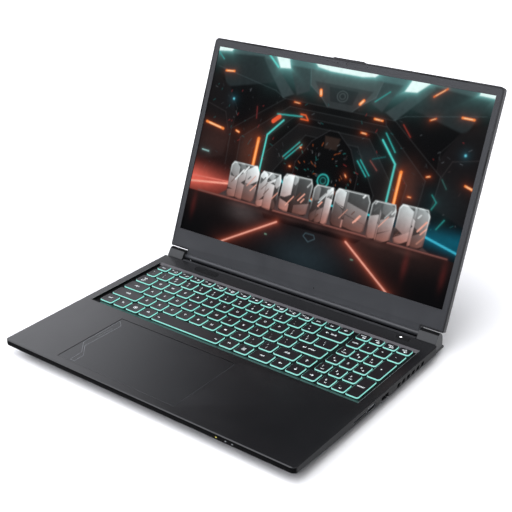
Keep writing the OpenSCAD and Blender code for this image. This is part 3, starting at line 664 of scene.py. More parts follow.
def legend(bag, tag, b):
    x0, y0, x1, y1, z0, z1 = b
    w, h = x1 - x0, y1 - y0
    cx, cy = (x0 + x1) / 2, (y0 + y1) / 2
    z = z1 - 0.1
    def zf(X, Y):
        d = min(X - x0, x1 - X, Y - y0, y1 - Y)
        return z1 - np.interp(d, [0.7, 1.5, 2.8, 4.0], [0.005, 0.02, 0.085, 0.12])
    m = 2
    if not tag:
        return
    if tag == "<space":
        for xx in (x0 + 4.0, x1 - 7.0):
            line(bag, xx, cy - 1.2, xx + 3.0, cy - 1.2, 0.5, z, m)
    elif tag == "<bksp":
        add_text(bag, "back", cx + 1.0, cy + 0.3, 3.7, z, m, zf=zf)
        line(bag, cx - 8.4, cy + 1.3, cx - 5.2, cy + 1.3, 0.45, z, m); line(bag, cx - 8.5, cy + 1.3, cx - 7.3, cy + 2.4, 0.45, z, m); line(bag, cx - 8.5, cy + 1.3, cx - 7.3, cy + 0.2, 0.45, z, m)
    elif tag == "<tab":
        add_text(bag, "tab", cx - 2.6, cy + 0.6, 3.7, z, m, zf=zf)
        for s, yy in ((1, cy - 1.8), (-1, cy - 3.9)):
            line(bag, cx - 5.0, yy, cx - 0.6, yy, 0.4, z, m)
            e = cx - 2.8 + 2.2 * s
            line(bag, e, yy, e - 1.0 * s, yy + 0.8, 0.4, z, m); line(bag, e, yy, e - 1.0 * s, yy - 0.8, 0.4, z, m)
    elif tag == "<enter":
        add_text(bag, "enter", cx + 1.5, cy + 0.4, 3.7, z, m, zf=zf)
        line(bag, cx - 9, cy + 0.9, cx - 6, cy + 0.9, 0.45, z, m); line(bag, cx - 9.1, cy + 0.9, cx - 7.8, cy + 2.0, 0.45, z, m); line(bag, cx - 9.1, cy + 0.9, cx - 7.8, cy - 0.2, 0.45, z, m)
        line(bag, cx - 6, cy + 0.7, cx - 6, cy + 2.9, 0.45, z, m)
    elif tag in ("<l", "<r", "<u", "<d"):
        d = {"<l": (-1, 0), "<r": (1, 0), "<u": (0, 1), "<d": (0, -1)}[tag]
        tip = (cx + d[0] * 1.7, cy + d[1] * 1.7)
        n = (-d[1], d[0])
        line(bag, cx - d[0] * 2.1, cy - d[1] * 2.1, *tip, 0.5, z, m)
        for s in (1, -1):
            line(bag, *tip, tip[0] - d[0] * 1.5 + n[0] * 1.3 * s, tip[1] - d[1] * 1.5 + n[1] * 1.3 * s, 0.5, z, m)
    elif tag == "<menu":
        zig(bag, [(cx - 1.7, cy - 1.9), (cx + 1.7, cy - 1.9), (cx + 1.7, cy + 1.9), (cx - 1.7, cy + 1.9)], 0.35, z, m, True)
        for dy in (0.8, 0, -0.8):
            line(bag, cx - 0.9, cy + dy, cx + 0.9, cy + dy, 0.32, z, m)
    elif tag == "<menu4":
        # a plain ring and dot, the generic system key
        zig(bag, arc_pts(cx, cy, 2.0, 0, 360, 18), 0.5, z, m)
        bag.prism([(cx + 0.75 * math.cos(a), cy + 0.75 * math.sin(a)) for a in np.linspace(0, 2 * math.pi, 13)[:-1]], z - 0.02, z + 0.03, m)
    elif tag[0] == "n" and tag[1:] in ("0", "1", "2", "3", "4", "6", "7", "8", "9", "."):
        t = tag[1:]
        add_text(bag, t, cx - 1.8, cy - 0.1, 3.6, z, m, zf=zf)
        sub = {"0": "ins", ".": "del", "1": "end", "3": "pdn", "7": "home", "9": "pup"}.get(t)
        if sub:
            add_text(bag, sub, cx + 0.2, cy - 3.9, 2.4, z, m, zf=zf)
        else:
            d = {"8": (0, 1), "2": (0, -1), "4": (-1, 0), "6": (1, 0)}[t]
            q = (cx + 1.6, cy - 2.6)
            tip = (q[0] + d[0] * 1.2, q[1] + d[1] * 1.2)
            line(bag, q[0] - d[0] * 1.2, q[1] - d[1] * 1.2, *tip, 0.4, z, m)
            for s in (1, -1):
                line(bag, *tip, tip[0] - d[0] * 1.0 - d[1] * 0.9 * s, tip[1] - d[1] * 1.0 + d[0] * 0.9 * s, 0.4, z, m)
    elif len(tag) == 2 and not tag[0].isalnum() and tag[0] not in "<":
        add_text(bag, tag[1], cx - 0.8, cy - 4.1, 3.6, z, m, zf=zf)
        add_text(bag, tag[0], cx - 2.4, cy + 1.1, 3.0, z, m, zf=zf)
    elif len(tag) == 2 and tag[1].isdigit() and tag[0] not in "F":
        add_text(bag, tag[1], cx - 0.8, cy - 4.1, 3.6, z, m, zf=zf)
        add_text(bag, tag[0], cx - 2.4, cy + 1.1, 3.0, z, m, zf=zf)
    elif len(tag) == 1:
        add_text(bag, tag, cx - 0.9, cy - 0.8, 4.0, z, m, zf=zf)
    elif tag[0] == "F":
        add_text(bag, tag, x0 + 3.4, cy + 0.3, 2.4, z, m, zf=zf)
        icon(bag, ROW_ICON[tag], cx + 2.4, cy - 0.9, z, m)
    elif h < 12:
        if tag in ("home", "end", "pgup", "pgdn"):
            icon(bag, {"home": "prev", "end": "next", "pgup": "play", "pgdn": "vol"}[tag], cx + 1.6, cy - 1.6, z, m)
            add_text(bag, tag, cx - 0.6, cy + 0.9, 2.7, z, m, zf=zf)
        else:
            add_text(bag, tag, cx - 0.4, cy - 0.9, 3.3, z, m, zf=zf)
    else:
        add_text(bag, tag, cx - 0.5, cy - 0.2, 3.7, z, m, zf=zf)


NUM = {2: "123", 3: "456", 4: "789"}
for node in NODES:
    if not (node.endswith("_key") or node.endswith("_keys") or node.startswith("letter_keys")):
        continue
    boxes = sorted(islands(node), key=lambda b: b[0])
    if node == "numpad_keys":
        rows = sorted({round(b[1]) for b in boxes}, reverse=True)
        grid = {}
        for bx in boxes:
            grid.setdefault(round(bx[1]), []).append(bx)
        ys = sorted(grid)
        tags = {}
        # bottom row up: 0 and point, then 1 2 3, 4 5 6, 7 8 9 and the top row
        names = [["n0", "n."], ["n1", "n2", "n3"], ["n4", "5", "n6"], ["n7", "n8", "n9"], ["num", "/", "*", "-"]]
        labelled = []
        for y, nm in zip(ys, names):
            for bx, t in zip(sorted(grid[y]), nm):
                labelled.append((bx, t))
    else:
        labelled = list(zip(boxes, LEG.get(node, [""] * len(boxes))))
    bag = Bag(D)
    for bx, tag in labelled:
        cap_mesh(bag, bx, tag)
        legend(bag, tag, bx)
    o = bag.make("keys_" + node, [M["cap"], M["skirt"], M["legend"]], node, replaces=(node,), slot="keycap")
    sharp(o, 50)

# ------------------------------------------------------------------ trim
def strip_along(name, path, nrm, z0, z1, t0, t1, mat, body, slot, to=D, taper=0.25):
    """A closed strip that follows a path of (x, y) with outward normals, from z0 to z1, t0 to t1 out of it."""
    v, f = [], []
    for i, ((x, y), (nx, ny)) in enumerate(zip(path, nrm)):
        for t, z in ((t0, z0), (t1, z0 + taper), (t1, z1 - taper), (t0, z1)):
            v.append(to(x + nx * t, y + ny * t, z))
    n = len(path)
    for i in range(n - 1):
        for j in range(4):
            a, b = i * 4 + j, i * 4 + (j + 1) % 4
            f.append((a, b, b + 4, a + 4))
    f.append((3, 2, 1, 0))
    f.append(tuple((n - 1) * 4 + j for j in range(4)))
    return sharp(put(name, v, f, [mat], body, slot=slot), 30)


# painted shade: a near-black strip laid over the deck's front face and round its front corners
CR = 5.0
path, nrm = [], []
for i in range(9):
    a = math.radians(180 + 90 * i / 8)
    path.append((-180 + CR + CR * math.cos(a), CR + CR * math.sin(a)))
    nrm.append((math.cos(a), math.sin(a)))
for i in range(1, 12):
    path.append((-175 + 350 * i / 12, 0.0))
    nrm.append((0.0, -1.0))
for i in range(7):
    a = math.radians(270 + 90 * i / 8)
    path.append((180 - CR + CR * math.cos(a), CR + CR * math.sin(a)))
    nrm.append((math.cos(a), math.sin(a)))
strip_along("front_band", path, nrm, -5.95, -0.95, -0.05, 0.09, M["band"], "base", "base_shell")

# status lights in the front band
bag = Bag(lambda x, y, z: D(x, y, z))
for x, k in ((96.6, 0), (107.1, 1), (114.6, 1)):
    v0 = len(bag.v)
    w, h = 0.8, 0.4
    for y, g in ((-0.06, 1.0), (-0.14, 1.0), (-0.18, 0.8)):
        for dx, dz in ((-w, -h), (w, -h), (w, h), (-w, h)):
            bag.v.append(D(x + dx * g, y, -3.7 + dz * g))
    for r in range(2):
        for j in range(4):
            a0, b0 = v0 + r * 4 + j, v0 + r * 4 + (j + 1) % 4
            bag.f.append((a0, b0, b0 + 4, a0 + 4)); bag.i.append(k)
    bag.f.append((v0 + 3, v0 + 2, v0 + 1, v0)); bag.i.append(k)
    bag.f.append(tuple(v0 + 8 + j for j in range(4))); bag.i.append(k)
bag.make("status_lights", [M["led_y"], M["led_d"]], "base", slot="base_shell", smooth=False)

# the lit spot at the left end of the power button
bag = Bag(D)
bag.prism([(141.9 + 1.25 * math.cos(a), 236.4 + 0.85 * math.sin(a)) for a in np.linspace(0, 2 * math.pi, 17)[:-1]], 0.05, 0.17, 0, edge=0.04)
bag.make("power_light", [M["led_w"]], "power_button", slot="button", smooth=False)

# microphone or speaker perforation at the left of the strip behind the keys, drawn as near-black discs: painted shade
# standing in for the holes
bag = Bag(D)
for r in range(6):
    for c in range(19):
        x, y = -128.5 + 1.8 * c + 0.7 * r, 239.4 - 1.75 * r
        if (r in (0, 5)) and (c < 1 or c > 17):
            continue
        bag.prism([(x + 0.62 * math.cos(a), y + 0.62 * math.sin(a)) for a in np.linspace(0, 2 * math.pi, 9)[:-1]], -0.05, 0.012, 0)
bag.make("speaker_perforation", [M["felt"]], "base", slot="base_shell", smooth=False)

# painted highlight: a pale grey-teal strip along the keyboard well's left and right edges
bag = Bag(D)
for sx in (1, -1):
    x0, x1 = sorted((sx * 170.02, sx * 170.4))
    bag.prism([(x0, 111.6), (x1, 111.6), (x1, 224.1), (x0, 224.1)], -0.1, 0.03, 0, edge=0.03)
bag.make("well_edge_painted_highlight", [M["rim"]], "base", slot="base_shell", smooth=False)

# painted highlight: a paler sheet on the bevel behind the top row of keys, as if lit; and painted shade: a near-black
# sheet in the gap under the lid's barrel
bag = Bag(D)
n0, n1 = Vector((220.7, -1.8)), Vector((224.15, -0.02))
dn = (n1 - n0).normalized()
up = Vector((-dn.y, dn.x)) * 0.05
ring = lambda x: [(x, n0.x, n0.y), (x, n0.x + up.x, n0.y + up.y), (x, n1.x + up.x, n1.y + up.y), (x, n1.x, n1.y)]
bag.loops([ring(-169.8), ring(-60), ring(60), ring(169.8)], [0, 0, 0])
bag.make("well_bevel_painted_highlight", [M["bevel"]], "base", slot="base_shell", smooth=False)
bag = Bag(D)
bag.prism([(-154.2, 243.32), (154.2, 243.32), (154.2, 246.7), (-154.2, 246.7)], -2.4, -0.38, 0, edge=0.3)
bag.make("rear_lip", [M["side"]], "base", slot="base_shell", smooth=False)
# painted shade: a near-black floor and back wall in the gap under the lid's barrel
bag = Bag(D)
bag.prism([(-154.2, 243.3), (154.2, 243.3), (154.2, 258.8), (-154.2, 258.8)], -7.99, -7.7, 0, edge=0.1)
bag.prism([(-154.2, 258.0), (154.2, 258.0), (154.2, 258.5), (-154.2, 258.5)], -7.75, -4.2, 0, edge=0.1)
bag.make("black_painted_shade", [M["felt"]], "base", slot="rubber", smooth=False)

lo_, hi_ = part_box("touchpad")
TP = ((lo_[0]) / MM + 0.3, (lo_[1] - Y0) / MM + 0.3, hi_[0] / MM - 0.3, (hi_[1] - Y0) / MM - 0.3)
# plain guide lines etched on the touchpad's left side
bag = Bag(D)
for pts in ([(-110.6, 95.0), (-102.6, 88.0), (-104.2, 38.5), (-91.6, 24.0), (-91.6, 12.0)], [(-110.6, 43.0), (-98.0, 28.0), (-97.0, 12.0)], [(-91.6, 12.0), (-97.0, 12.0)], [(-110.6, 95.0), (-110.6, 43.0)]):
    for p0, p1 in zip(pts, pts[1:]):
        line(bag, *p0, *p1, 0.3, -0.25, 0, thick=0.015)
for i in range(9):
    line(bag, -107.6 + 0.12 * i, 58 + 2.4 * i, -106.4 + 0.12 * i, 59.2 + 2.4 * i, 0.3, -0.25, 0, thick=0.015)
# painted highlight: a pale hairline along the touchpad's front and right edges
x0, y0, x1, y1 = TP
for p0, p1 in (((x0, y0), (x1, y0)), ((x1, y0), (x1, y1))):
    line(bag, *p0, *p1, 0.22, -0.25, 1, thick=0.015)
bag.make("touchpad_lines", [M["line"], M["pad_edge"]], "touchpad", slot="touch_surface", smooth=False)

# small hole of the lid switch under the chin, drawn as a dark disc: painted shade standing in for the hole
bag = Bag(L)
bag.prism([(23.4 + 0.8 * math.cos(a), 3.0 + 0.8 * math.sin(a)) for a in np.linspace(0, 2 * math.pi, 13)[:-1]], -0.2, 0.02, 0)
bag.make("chin_dot", [M["dark"]], "lid", slot="bezel", smooth=False)


# ------------------------------------------------------------------ the lit screen
def picture(W, H):
    """An invented machine hall in linear light, row 0 at the top; s runs 0..1.6, t runs 0..1."""
    rng = np.random.default_rng(11)
    yy, xx = np.mgrid[0:H, 0:W]
    s = (xx + 0.5) / W * 1.6
    t = (yy + 0.5) / H
    img = np.zeros((H, W, 3))
    px = 1.0 / H

    def seg(x0, y0, x1, y1):
        dx, dy = x1 - x0, y1 - y0
        u = np.clip(((s - x0) * dx + (t - y0) * dy) / (dx * dx + dy * dy + 1e-12), 0, 1)
        return np.hypot(s - x0 - u * dx, t - y0 - u * dy)

    def poly(pts):
        """Signed distance, positive inside a convex polygon."""
        d = np.full((H, W), 9.0)
        n = len(pts)
        ar = sum(pts[i][0] * pts[(i + 1) % n][1] - pts[(i + 1) % n][0] * pts[i][1] for i in range(n))
        sg = 1 if ar > 0 else -1
        for i in range(n):
            (x0, y0), (x1, y1) = pts[i], pts[(i + 1) % n]
            ln = math.hypot(x1 - x0, y1 - y0) + 1e-9
            d = np.minimum(d, sg * ((x1 - x0) * (t - y0) - (y1 - y0) * (s - x0)) / ln)
        return d

    def cover(mask, col):
        m = np.clip(mask, 0, 1)[..., None]
        img[:] = img * (1 - m) + m * np.array(col)

    def add(mask, col):
        img[:] = img + np.clip(mask, 0, 9)[..., None] * np.array(col)

    def fill(pts, col, soft=1.0):
        cover(0.5 + poly(pts) / (px * soft), col)

    def neon(pts, core, halo, w=0.006, r=0.03, k=0.5):
        d = np.full((H, W), 9.0)
        for (x0, y0), (x1, y1) in zip(pts, pts[1:]):
            d = np.minimum(d, seg(x0, y0, x1, y1))
        add(k * (0.8 * np.exp(-d / (r * 0.22)) + 0.16 * np.exp(-d / r)), halo)
        cover(0.5 + (w - d) / px, core)

    def edge(pts, col, w=0.0022, k=1.0):
        for (x0, y0), (x1, y1) in zip(pts, pts[1:]):
            add(k * np.exp(-(seg(x0, y0, x1, y1) / w) ** 2), col)

    # room tone
    add(np.ones((H, W)), (0.0022, 0.0024, 0.0027))
    add(np.exp(-(t / 0.07) ** 1.5), (0.05, 0.082, 0.085))
    add(np.exp(-((s - 0.8) / 0.42) ** 4 - ((t - 0.06) / 0.09) ** 2), (0.02, 0.06, 0.06))
    # ceiling panels and the hanging hood
    for sx in (1, -1):
        m = lambda x: 0.8 + sx * (x - 0.8)
        fill([(m(0.02), 0.03), (m(0.3), 0.01), (m(0.4), 0.13), (m(0.1), 0.2)], (0.017, 0.024, 0.026), 5)
        fill([(m(0.3), 0.02), (m(0.36), 0.02), (m(0.53), 0.17), (m(0.47), 0.2)], (0.034, 0.05, 0.053), 4)
        fill([(m(0.47), 0.03), (m(0.6), 0.03), (m(0.62), 0.14), (m(0.55), 0.17)], (0.03, 0.041, 0.044), 5)
        edge([(m(0.02), 0.1), (m(0.42), 0.17), (m(0.55), 0.235)], (0.02, 0.03, 0.032), 0.002)
        edge([(m(0.12), 0.2), (m(0.2), 0.3), (m(0.19), 0.5), (m(0.26), 0.64)], (0.014, 0.014, 0.014), 0.002)
        fill([(m(-0.02), 0.12), (m(0.13), 0.2), (m(0.2), 0.33), (m(0.17), 0.56), (m(-0.02), 0.62)], (0.009, 0.0075, 0.008), 6)
        edge([(m(0.0), 0.3), (m(0.13), 0.33), (m(0.17), 0.42)], (0.018, 0.016, 0.016), 0.002)
    fill([(0.6, 0.03), (1.02, 0.03), (1.0, 0.11), (0.93, 0.16), (0.7, 0.16), (0.62, 0.11)], (0.05, 0.064, 0.066), 3)
    fill([(0.64, 0.085), (0.98, 0.085), (0.93, 0.16), (0.87, 0.215), (0.76, 0.215), (0.7, 0.16)], (0.03, 0.036, 0.038), 3)
    fill([(0.73, 0.1), (0.9, 0.1), (0.88, 0.17), (0.75, 0.17)], (0.018, 0.022, 0.024), 2)
    edge([(0.6, 0.03), (0.62, 0.11), (0.7, 0.16), (0.76, 0.215), (0.87, 0.215), (0.93, 0.16), (1.0, 0.11), (1.02, 0.03)], (0.03, 0.04, 0.042), 0.0022)
    for r in (0.03, 0.016):
        add(0.5 * np.exp(-((np.hypot(s - 0.815, (t - 0.135) * 1.15) - r) / 0.0026) ** 2), (0.08, 0.1, 0.1))
    # vault: nested eight-sided portals going back
    for k, (hw, top, bot, g) in enumerate(((0.62, 0.2, 0.78, 0.0032), (0.55, 0.235, 0.78, 0.0065), (0.46, 0.275, 0.78, 0.0028), (0.4, 0.31, 0.78, 0.0085), (0.3, 0.36, 0.78, 0.003))):
        c, h = 0.81, hw * 0.52
        fill([(c - hw, top + 0.21), (c - h, top), (c + h, top), (c + hw, top + 0.21), (c + hw * 0.97, bot), (c - hw * 0.97, bot)], (g, g * 1.0, g * 1.05), 2)
        edge([(c - hw * 0.985, 0.6), (c - hw, top + 0.21), (c - h, top), (c + h, top), (c + hw, top + 0.21), (c + hw * 0.985, 0.6)], (0.016, 0.018, 0.019), 0.0022)
    # warm light on the uprights' reveals
    add(np.exp(-((s - 0.32) / 0.05) ** 2 - ((t - 0.5) / 0.12) ** 2), (0.045, 0.014, 0.008))
    add(np.exp(-((s - 0.12) / 0.16) ** 2 - ((t - 0.5) / 0.09) ** 2), (0.03, 0.01, 0.007))
    add(np.exp(-((s - 1.28) / 0.05) ** 2 - ((t - 0.48) / 0.1) ** 2), (0.04, 0.013, 0.008))
    add(np.exp(-((s - 1.44) / 0.13) ** 2 - ((t - 0.54) / 0.1) ** 2), (0.004, 0.011, 0.013))
    add(np.exp(-((s - 1.02) / 0.13) ** 2 - ((t - 0.4) / 0.06) ** 2), (0.006, 0.012, 0.014))
    # far end: dark gate with a ring
    fill([(0.63, 0.5), (0.7, 0.38), (0.79, 0.31), (0.84, 0.31), (0.93, 0.38), (1.0, 0.5), (1.0, 0.75), (0.63, 0.75)], (0.0012, 0.0015, 0.0018), 2)
    edge([(0.63, 0.6), (0.63, 0.5), (0.7, 0.38), (0.79, 0.31), (0.84, 0.31), (0.93, 0.38), (1.0, 0.5), (1.0, 0.6)], (0.02, 0.02, 0.022), 0.002)
    fill([(0.77, 0.34), (0.86, 0.34), (0.85, 0.4), (0.78, 0.4)], (0.03, 0.018, 0.014), 4)
    for i in range(64):
        a, r = rng.uniform(0, 2 * math.pi), rng.uniform(0.05, 0.17)
        x, y = 0.815 + r * math.cos(a), 0.5 + 0.8 * r * math.sin(a)
        col = [(0.16, 0.17, 0.18), (0.03, 0.24, 0.22), (0.5, 0.12, 0.03), (0.05, 0.05, 0.055)][rng.integers(4)]
        l = rng.uniform(0.005, 0.018)
        cover(0.6 * (0.5 + (0.0014 - seg(x, y, x + l * math.cos(a + 0.6), y + l * math.sin(a + 0.6))) / px), col)
    rr = np.hypot(s - 0.815, t - 0.56)
    cover(0.5 + (0.031 - rr) / px, (0.002, 0.022, 0.021))
    cover(0.95 * (0.5 + (0.0035 - np.abs(rr - 0.032)) / px), (0.03, 0.36, 0.33))
    cover(0.85 * (0.5 + (0.0022 - np.abs(rr - 0.016)) / px), (0.02, 0.2, 0.18))
    add(0.5 * np.exp(-np.abs(rr - 0.032) / 0.012), (0.0, 0.03, 0.028))
    # strips on the portals: teal frames and orange uprights
    teal, tealh = (0.07, 0.62, 0.56), (0.02, 0.24, 0.22)
    org, orgh = (1.0, 0.27, 0.05), (0.9, 0.13, 0.015)
    neon([(0.425, 0.64), (0.425, 0.4), (0.505, 0.31)], teal, tealh, 0.004, 0.02, 0.6)
    neon([(0.46, 0.285), (0.61, 0.272)], (0.03, 0.36, 0.33), tealh, 0.003, 0.015, 0.5)
    neon([(1.185, 0.64), (1.185, 0.4), (1.09, 0.3)], teal, tealh, 0.004, 0.02, 0.6)
    neon([(1.17, 0.345), (1.1, 0.265)], (0.03, 0.36, 0.33), tealh, 0.0026, 0.012, 0.5)
    for dx in (0.0, 0.016):
        neon([(0.55 + dx, 0.49 + dx * 0.5), (0.63 + dx, 0.4 + dx * 0.6)], (0.03, 0.38, 0.35), tealh, 0.0026, 0.012, 0.4)
        neon([(0.98 + dx, 0.425 - dx * 0.5), (1.045 + dx, 0.49 - dx * 0.5)], (0.03, 0.38, 0.35), tealh, 0.0026, 0.012, 0.4)
    neon([(0.378, 0.43), (0.378, 0.62)], org, orgh, 0.0085, 0.03, 0.8)
    neon([(1.226, 0.43), (1.226, 0.6)], org, orgh, 0.0075, 0.028, 0.8)
    for x in (0.378, 1.226):
        cover(0.8 * (0.5 + (0.003 - seg(x, 0.44, x, 0.6)) / px), (1.0, 0.5, 0.2))
    neon([(0.443, 0.325), (0.475, 0.297)], (0.8, 0.1, 0.035), orgh, 0.011, 0.02, 0.5)
    neon([(0.6, 0.262), (0.63, 0.262), (0.65, 0.285), (0.605, 0.285)], (0.8, 0.12, 0.03), orgh, 0.0026, 0.014, 0.5)
    # ceiling lamps
    lamp, lh = (0.8, 1.0, 0.97), (0.16, 0.5, 0.47)
    for pts in ([(-0.02, -0.01), (0.1, -0.01), (0.085, 0.012), (-0.02, 0.022)], [(0.365, -0.02), (0.45, -0.02), (0.477, 0.046), (0.415, 0.052)],
                [(0.6, -0.02), (1.01, -0.02), (0.97, 0.014), (0.9, 0.024), (0.72, 0.024), (0.64, 0.014)],
                [(1.18, -0.02), (1.29, -0.02), (1.21, 0.05), (1.145, 0.056)], [(1.53, -0.02), (1.62, -0.02), (1.62, 0.016), (1.52, 0.012)]):
        d = poly(pts)
        add(0.6 * np.exp(-np.maximum(0, -d) / 0.01) + 0.16 * np.exp(-np.maximum(0, -d) / 0.045), lh)
        cover(0.5 + d / (px * 2.5), lamp)
    neon([(0.335, 0.0), (0.4, 0.05)], (0.12, 0.62, 0.56), lh, 0.0045, 0.02, 0.4)
    neon([(0.0, 0.025), (0.045, 0.06)], (0.04, 0.32, 0.3), lh, 0.0026, 0.015, 0.2)
    neon([(1.0, 0.13), (1.07, 0.07)], (0.03, 0.28, 0.26), lh, 0.0026, 0.015, 0.2)
    # scattered lamps and sparks
    for x, y, l, a, w in ((0.075, 0.118, 0.055, -5, 5), (0.02, 0.402, 0.12, 9, 6), (0.225, 0.415, 0.02, 15, 4.5), (1.3, 0.055, 0.075, -38, 3.5), (1.465, 0.125, 0.06, 0, 5), (1.31, 0.165, 0.03, -25, 3),
                          (0.922, 0.155, 0.026, -50, 7), (0.685, 0.125, 0.024, 75, 8), (1.02, 0.21, 0.045, 2, 4.5), (0.965, 0.288, 0.03, 3, 4), (0.545, 0.208, 0.035, 2, 2.6), (1.36, 0.425, 0.018, -20, 3.5),
                          (1.56, 0.425, 0.04, 15, 5), (0.6, 0.53, 0.006, 0, 4), (0.64, 0.425, 0.005, 0, 3.5), (1.29, 0.535, 0.016, 0, 3), (0.93, 0.505, 0.014, 50, 3)):
        c, sn = math.cos(math.radians(a)), math.sin(math.radians(a))
        hot = (1.0, 0.27, 0.06) if w > 4 else (0.75, 0.17, 0.04)
        neon([(x, y), (x + l * c, y + l * sn)], hot, orgh, w * 0.001, 0.018, 0.45)
        d = seg(x + 0.15 * l * c, y + 0.15 * l * sn, x + 0.85 * l * c, y + 0.85 * l * sn)
        cover(0.85 * (0.5 + (w * 0.0005 - d) / px), (1.0, 0.6, 0.33))
    for i in range(150):
        x, y = rng.uniform(0.02, 1.58), rng.uniform(0.18, 0.66)
        a, l = rng.choice([0.3, 1.0, 1.9, 2.5]), rng.uniform(0.003, 0.022)
        col = [(0.3, 0.03, 0.03), (0.04, 0.045, 0.05), (0.015, 0.12, 0.12), (0.05, 0.035, 0.035), (0.1, 0.11, 0.12)][rng.integers(5)]
        cover(0.55 * (0.5 + (0.0016 - seg(x, y, x + l * math.cos(a), y + l * math.sin(a))) / px), col)
    for x, y, l, a, col in ((1.18, 0.21, 0.07, 45, (0.25, 0.03, 0.02)), (0.325, 0.27, 0.06, 80, (0.16, 0.02, 0.02)), (1.44, 0.42, 0.05, 50, (0.03, 0.1, 0.09)), (1.05, 0.41, 0.06, 40, (0.2, 0.06, 0.05)), (1.06, 0.4, 0.07, -20, (0.01, 0.1, 0.1)),
                          (0.03, 0.553, 0.045, 3, (0.35, 0.62, 0.6)), (1.41, 0.5, 0.04, 45, (0.02, 0.22, 0.2)), (1.44, 0.53, 0.04, 115, (0.02, 0.25, 0.22))):
        neon([(x, y), (x + l * math.cos(math.radians(a)), y + l * math.sin(math.radians(a)))], col, col, 0.0022, 0.012, 0.4)
    for x, y in ((0.165, 0.255), (1.525, 0.29)):
        add(np.exp(-(np.hypot(s - x, t - y) / 0.005) ** 2), (0.15, 0.7, 0.85))
        add(np.exp(-np.hypot(s - x, t - y) / 0.016), (0.01, 0.06, 0.08))
    # horizon glows: ember red on the left, cyan on the right
    add(np.exp(-((t - 0.71) / 0.06) ** 2) * np.exp(-(s / 0.17) ** 1.5), (0.75, 0.13, 0.09))
    add(np.exp(-((t - 0.7) / 0.07) ** 2) * np.exp(-(s / 0.42) ** 2), (0.07, 0.013, 0.01))
    add(np.exp(-((t - 0.69) / 0.045) ** 2) * np.exp(-((1.6 - s) / 0.26) ** 1.6), (0.0, 0.09, 0.14))
    neon([(0.0, 0.732), (0.3, 0.69)], (1.0, 0.4, 0.3), (0.8, 0.14, 0.09), 0.005, 0.03, 0.6)
    neon([(0.0, 0.7), (0.3, 0.685)], (0.8, 0.2, 0.15), (0.6, 0.1, 0.07), 0.003, 0.02, 0.5)
    neon([(1.28, 0.665), (1.6, 0.735)], (0.05, 0.5, 0.68), (0.0, 0.24, 0.36), 0.005, 0.03, 0.6)
    neon([(0.56, 0.6), (0.62, 0.65), (0.7, 0.672), (1.12, 0.665)], (0.03, 0.5, 0.55), (0.0, 0.2, 0.24), 0.0045, 0.02, 0.5)
    neon([(1.47, 0.65), (1.5, 0.6)], (0.02, 0.26, 0.24), tealh, 0.0026, 0.012, 0.4)
    neon([(0.775, 0.665), (0.83, 0.665)], (1.0, 0.3, 0.08), orgh, 0.005, 0.02, 0.5)
    # plinth and glossy floor
    fl = np.clip((t - 0.775) / px, 0, 1)
    cover(fl, (0.003, 0.0033, 0.0038))
    add(fl * np.exp(-((t - 0.78) / 0.1) ** 2) * (0.5 + 0.5 * np.cos(s * 4.3 + 0.9)), (0.025, 0.01, 0.008))
    add(fl * np.exp(-((s - 0.81) / 0.22) ** 2 - ((t - 0.96) / 0.11) ** 2), (0.012, 0.022, 0.028))
    add(fl * np.exp(-((s - 0.38) / 0.1) ** 2 - ((t - 0.82) / 0.05) ** 2), (0.05, 0.04, 0.04))
    for x in (0.05, 1.36, 1.56):
        add(fl * np.exp(-((s - x) / 0.016) ** 2 - ((t - 0.85) / 0.06) ** 2), (0.06, 0.006, 0.005))
    fill([(0.3, 0.69), (1.3, 0.69), (1.46, 0.765), (0.2, 0.765)], (0.06, 0.042, 0.042), 3)
    neon([(0.06, 0.77), (1.56, 0.77)], (0.22, 0.085, 0.07), (0.16, 0.03, 0.022), 0.0035, 0.02, 0.5)
    fill([(0.5, 0.795), (1.1, 0.795), (1.07, 0.82), (0.52, 0.82)], (0.003, 0.002, 0.0025), 3)
    for x0, x1 in ((0.6, 0.27), (1.02, 1.31)):
        neon([(x0, 0.822), (x1, 1.01)], (0.85, 0.36, 0.27), (0.7, 0.13, 0.07), 0.004, 0.035, 0.75)
    neon([(0.785, 0.835), (0.835, 0.835), (0.845, 0.852), (0.81, 0.875), (0.775, 0.852), (0.785, 0.835)], (0.06, 0.1, 0.12), (0.01, 0.02, 0.02), 0.0016, 0.01, 0.2)
    for x in (0.545, 1.07):
        neon([(x, 0.898), (x + 0.012, 0.898)], (0.22, 0.38, 0.27), tealh, 0.0018, 0.01, 0.2)
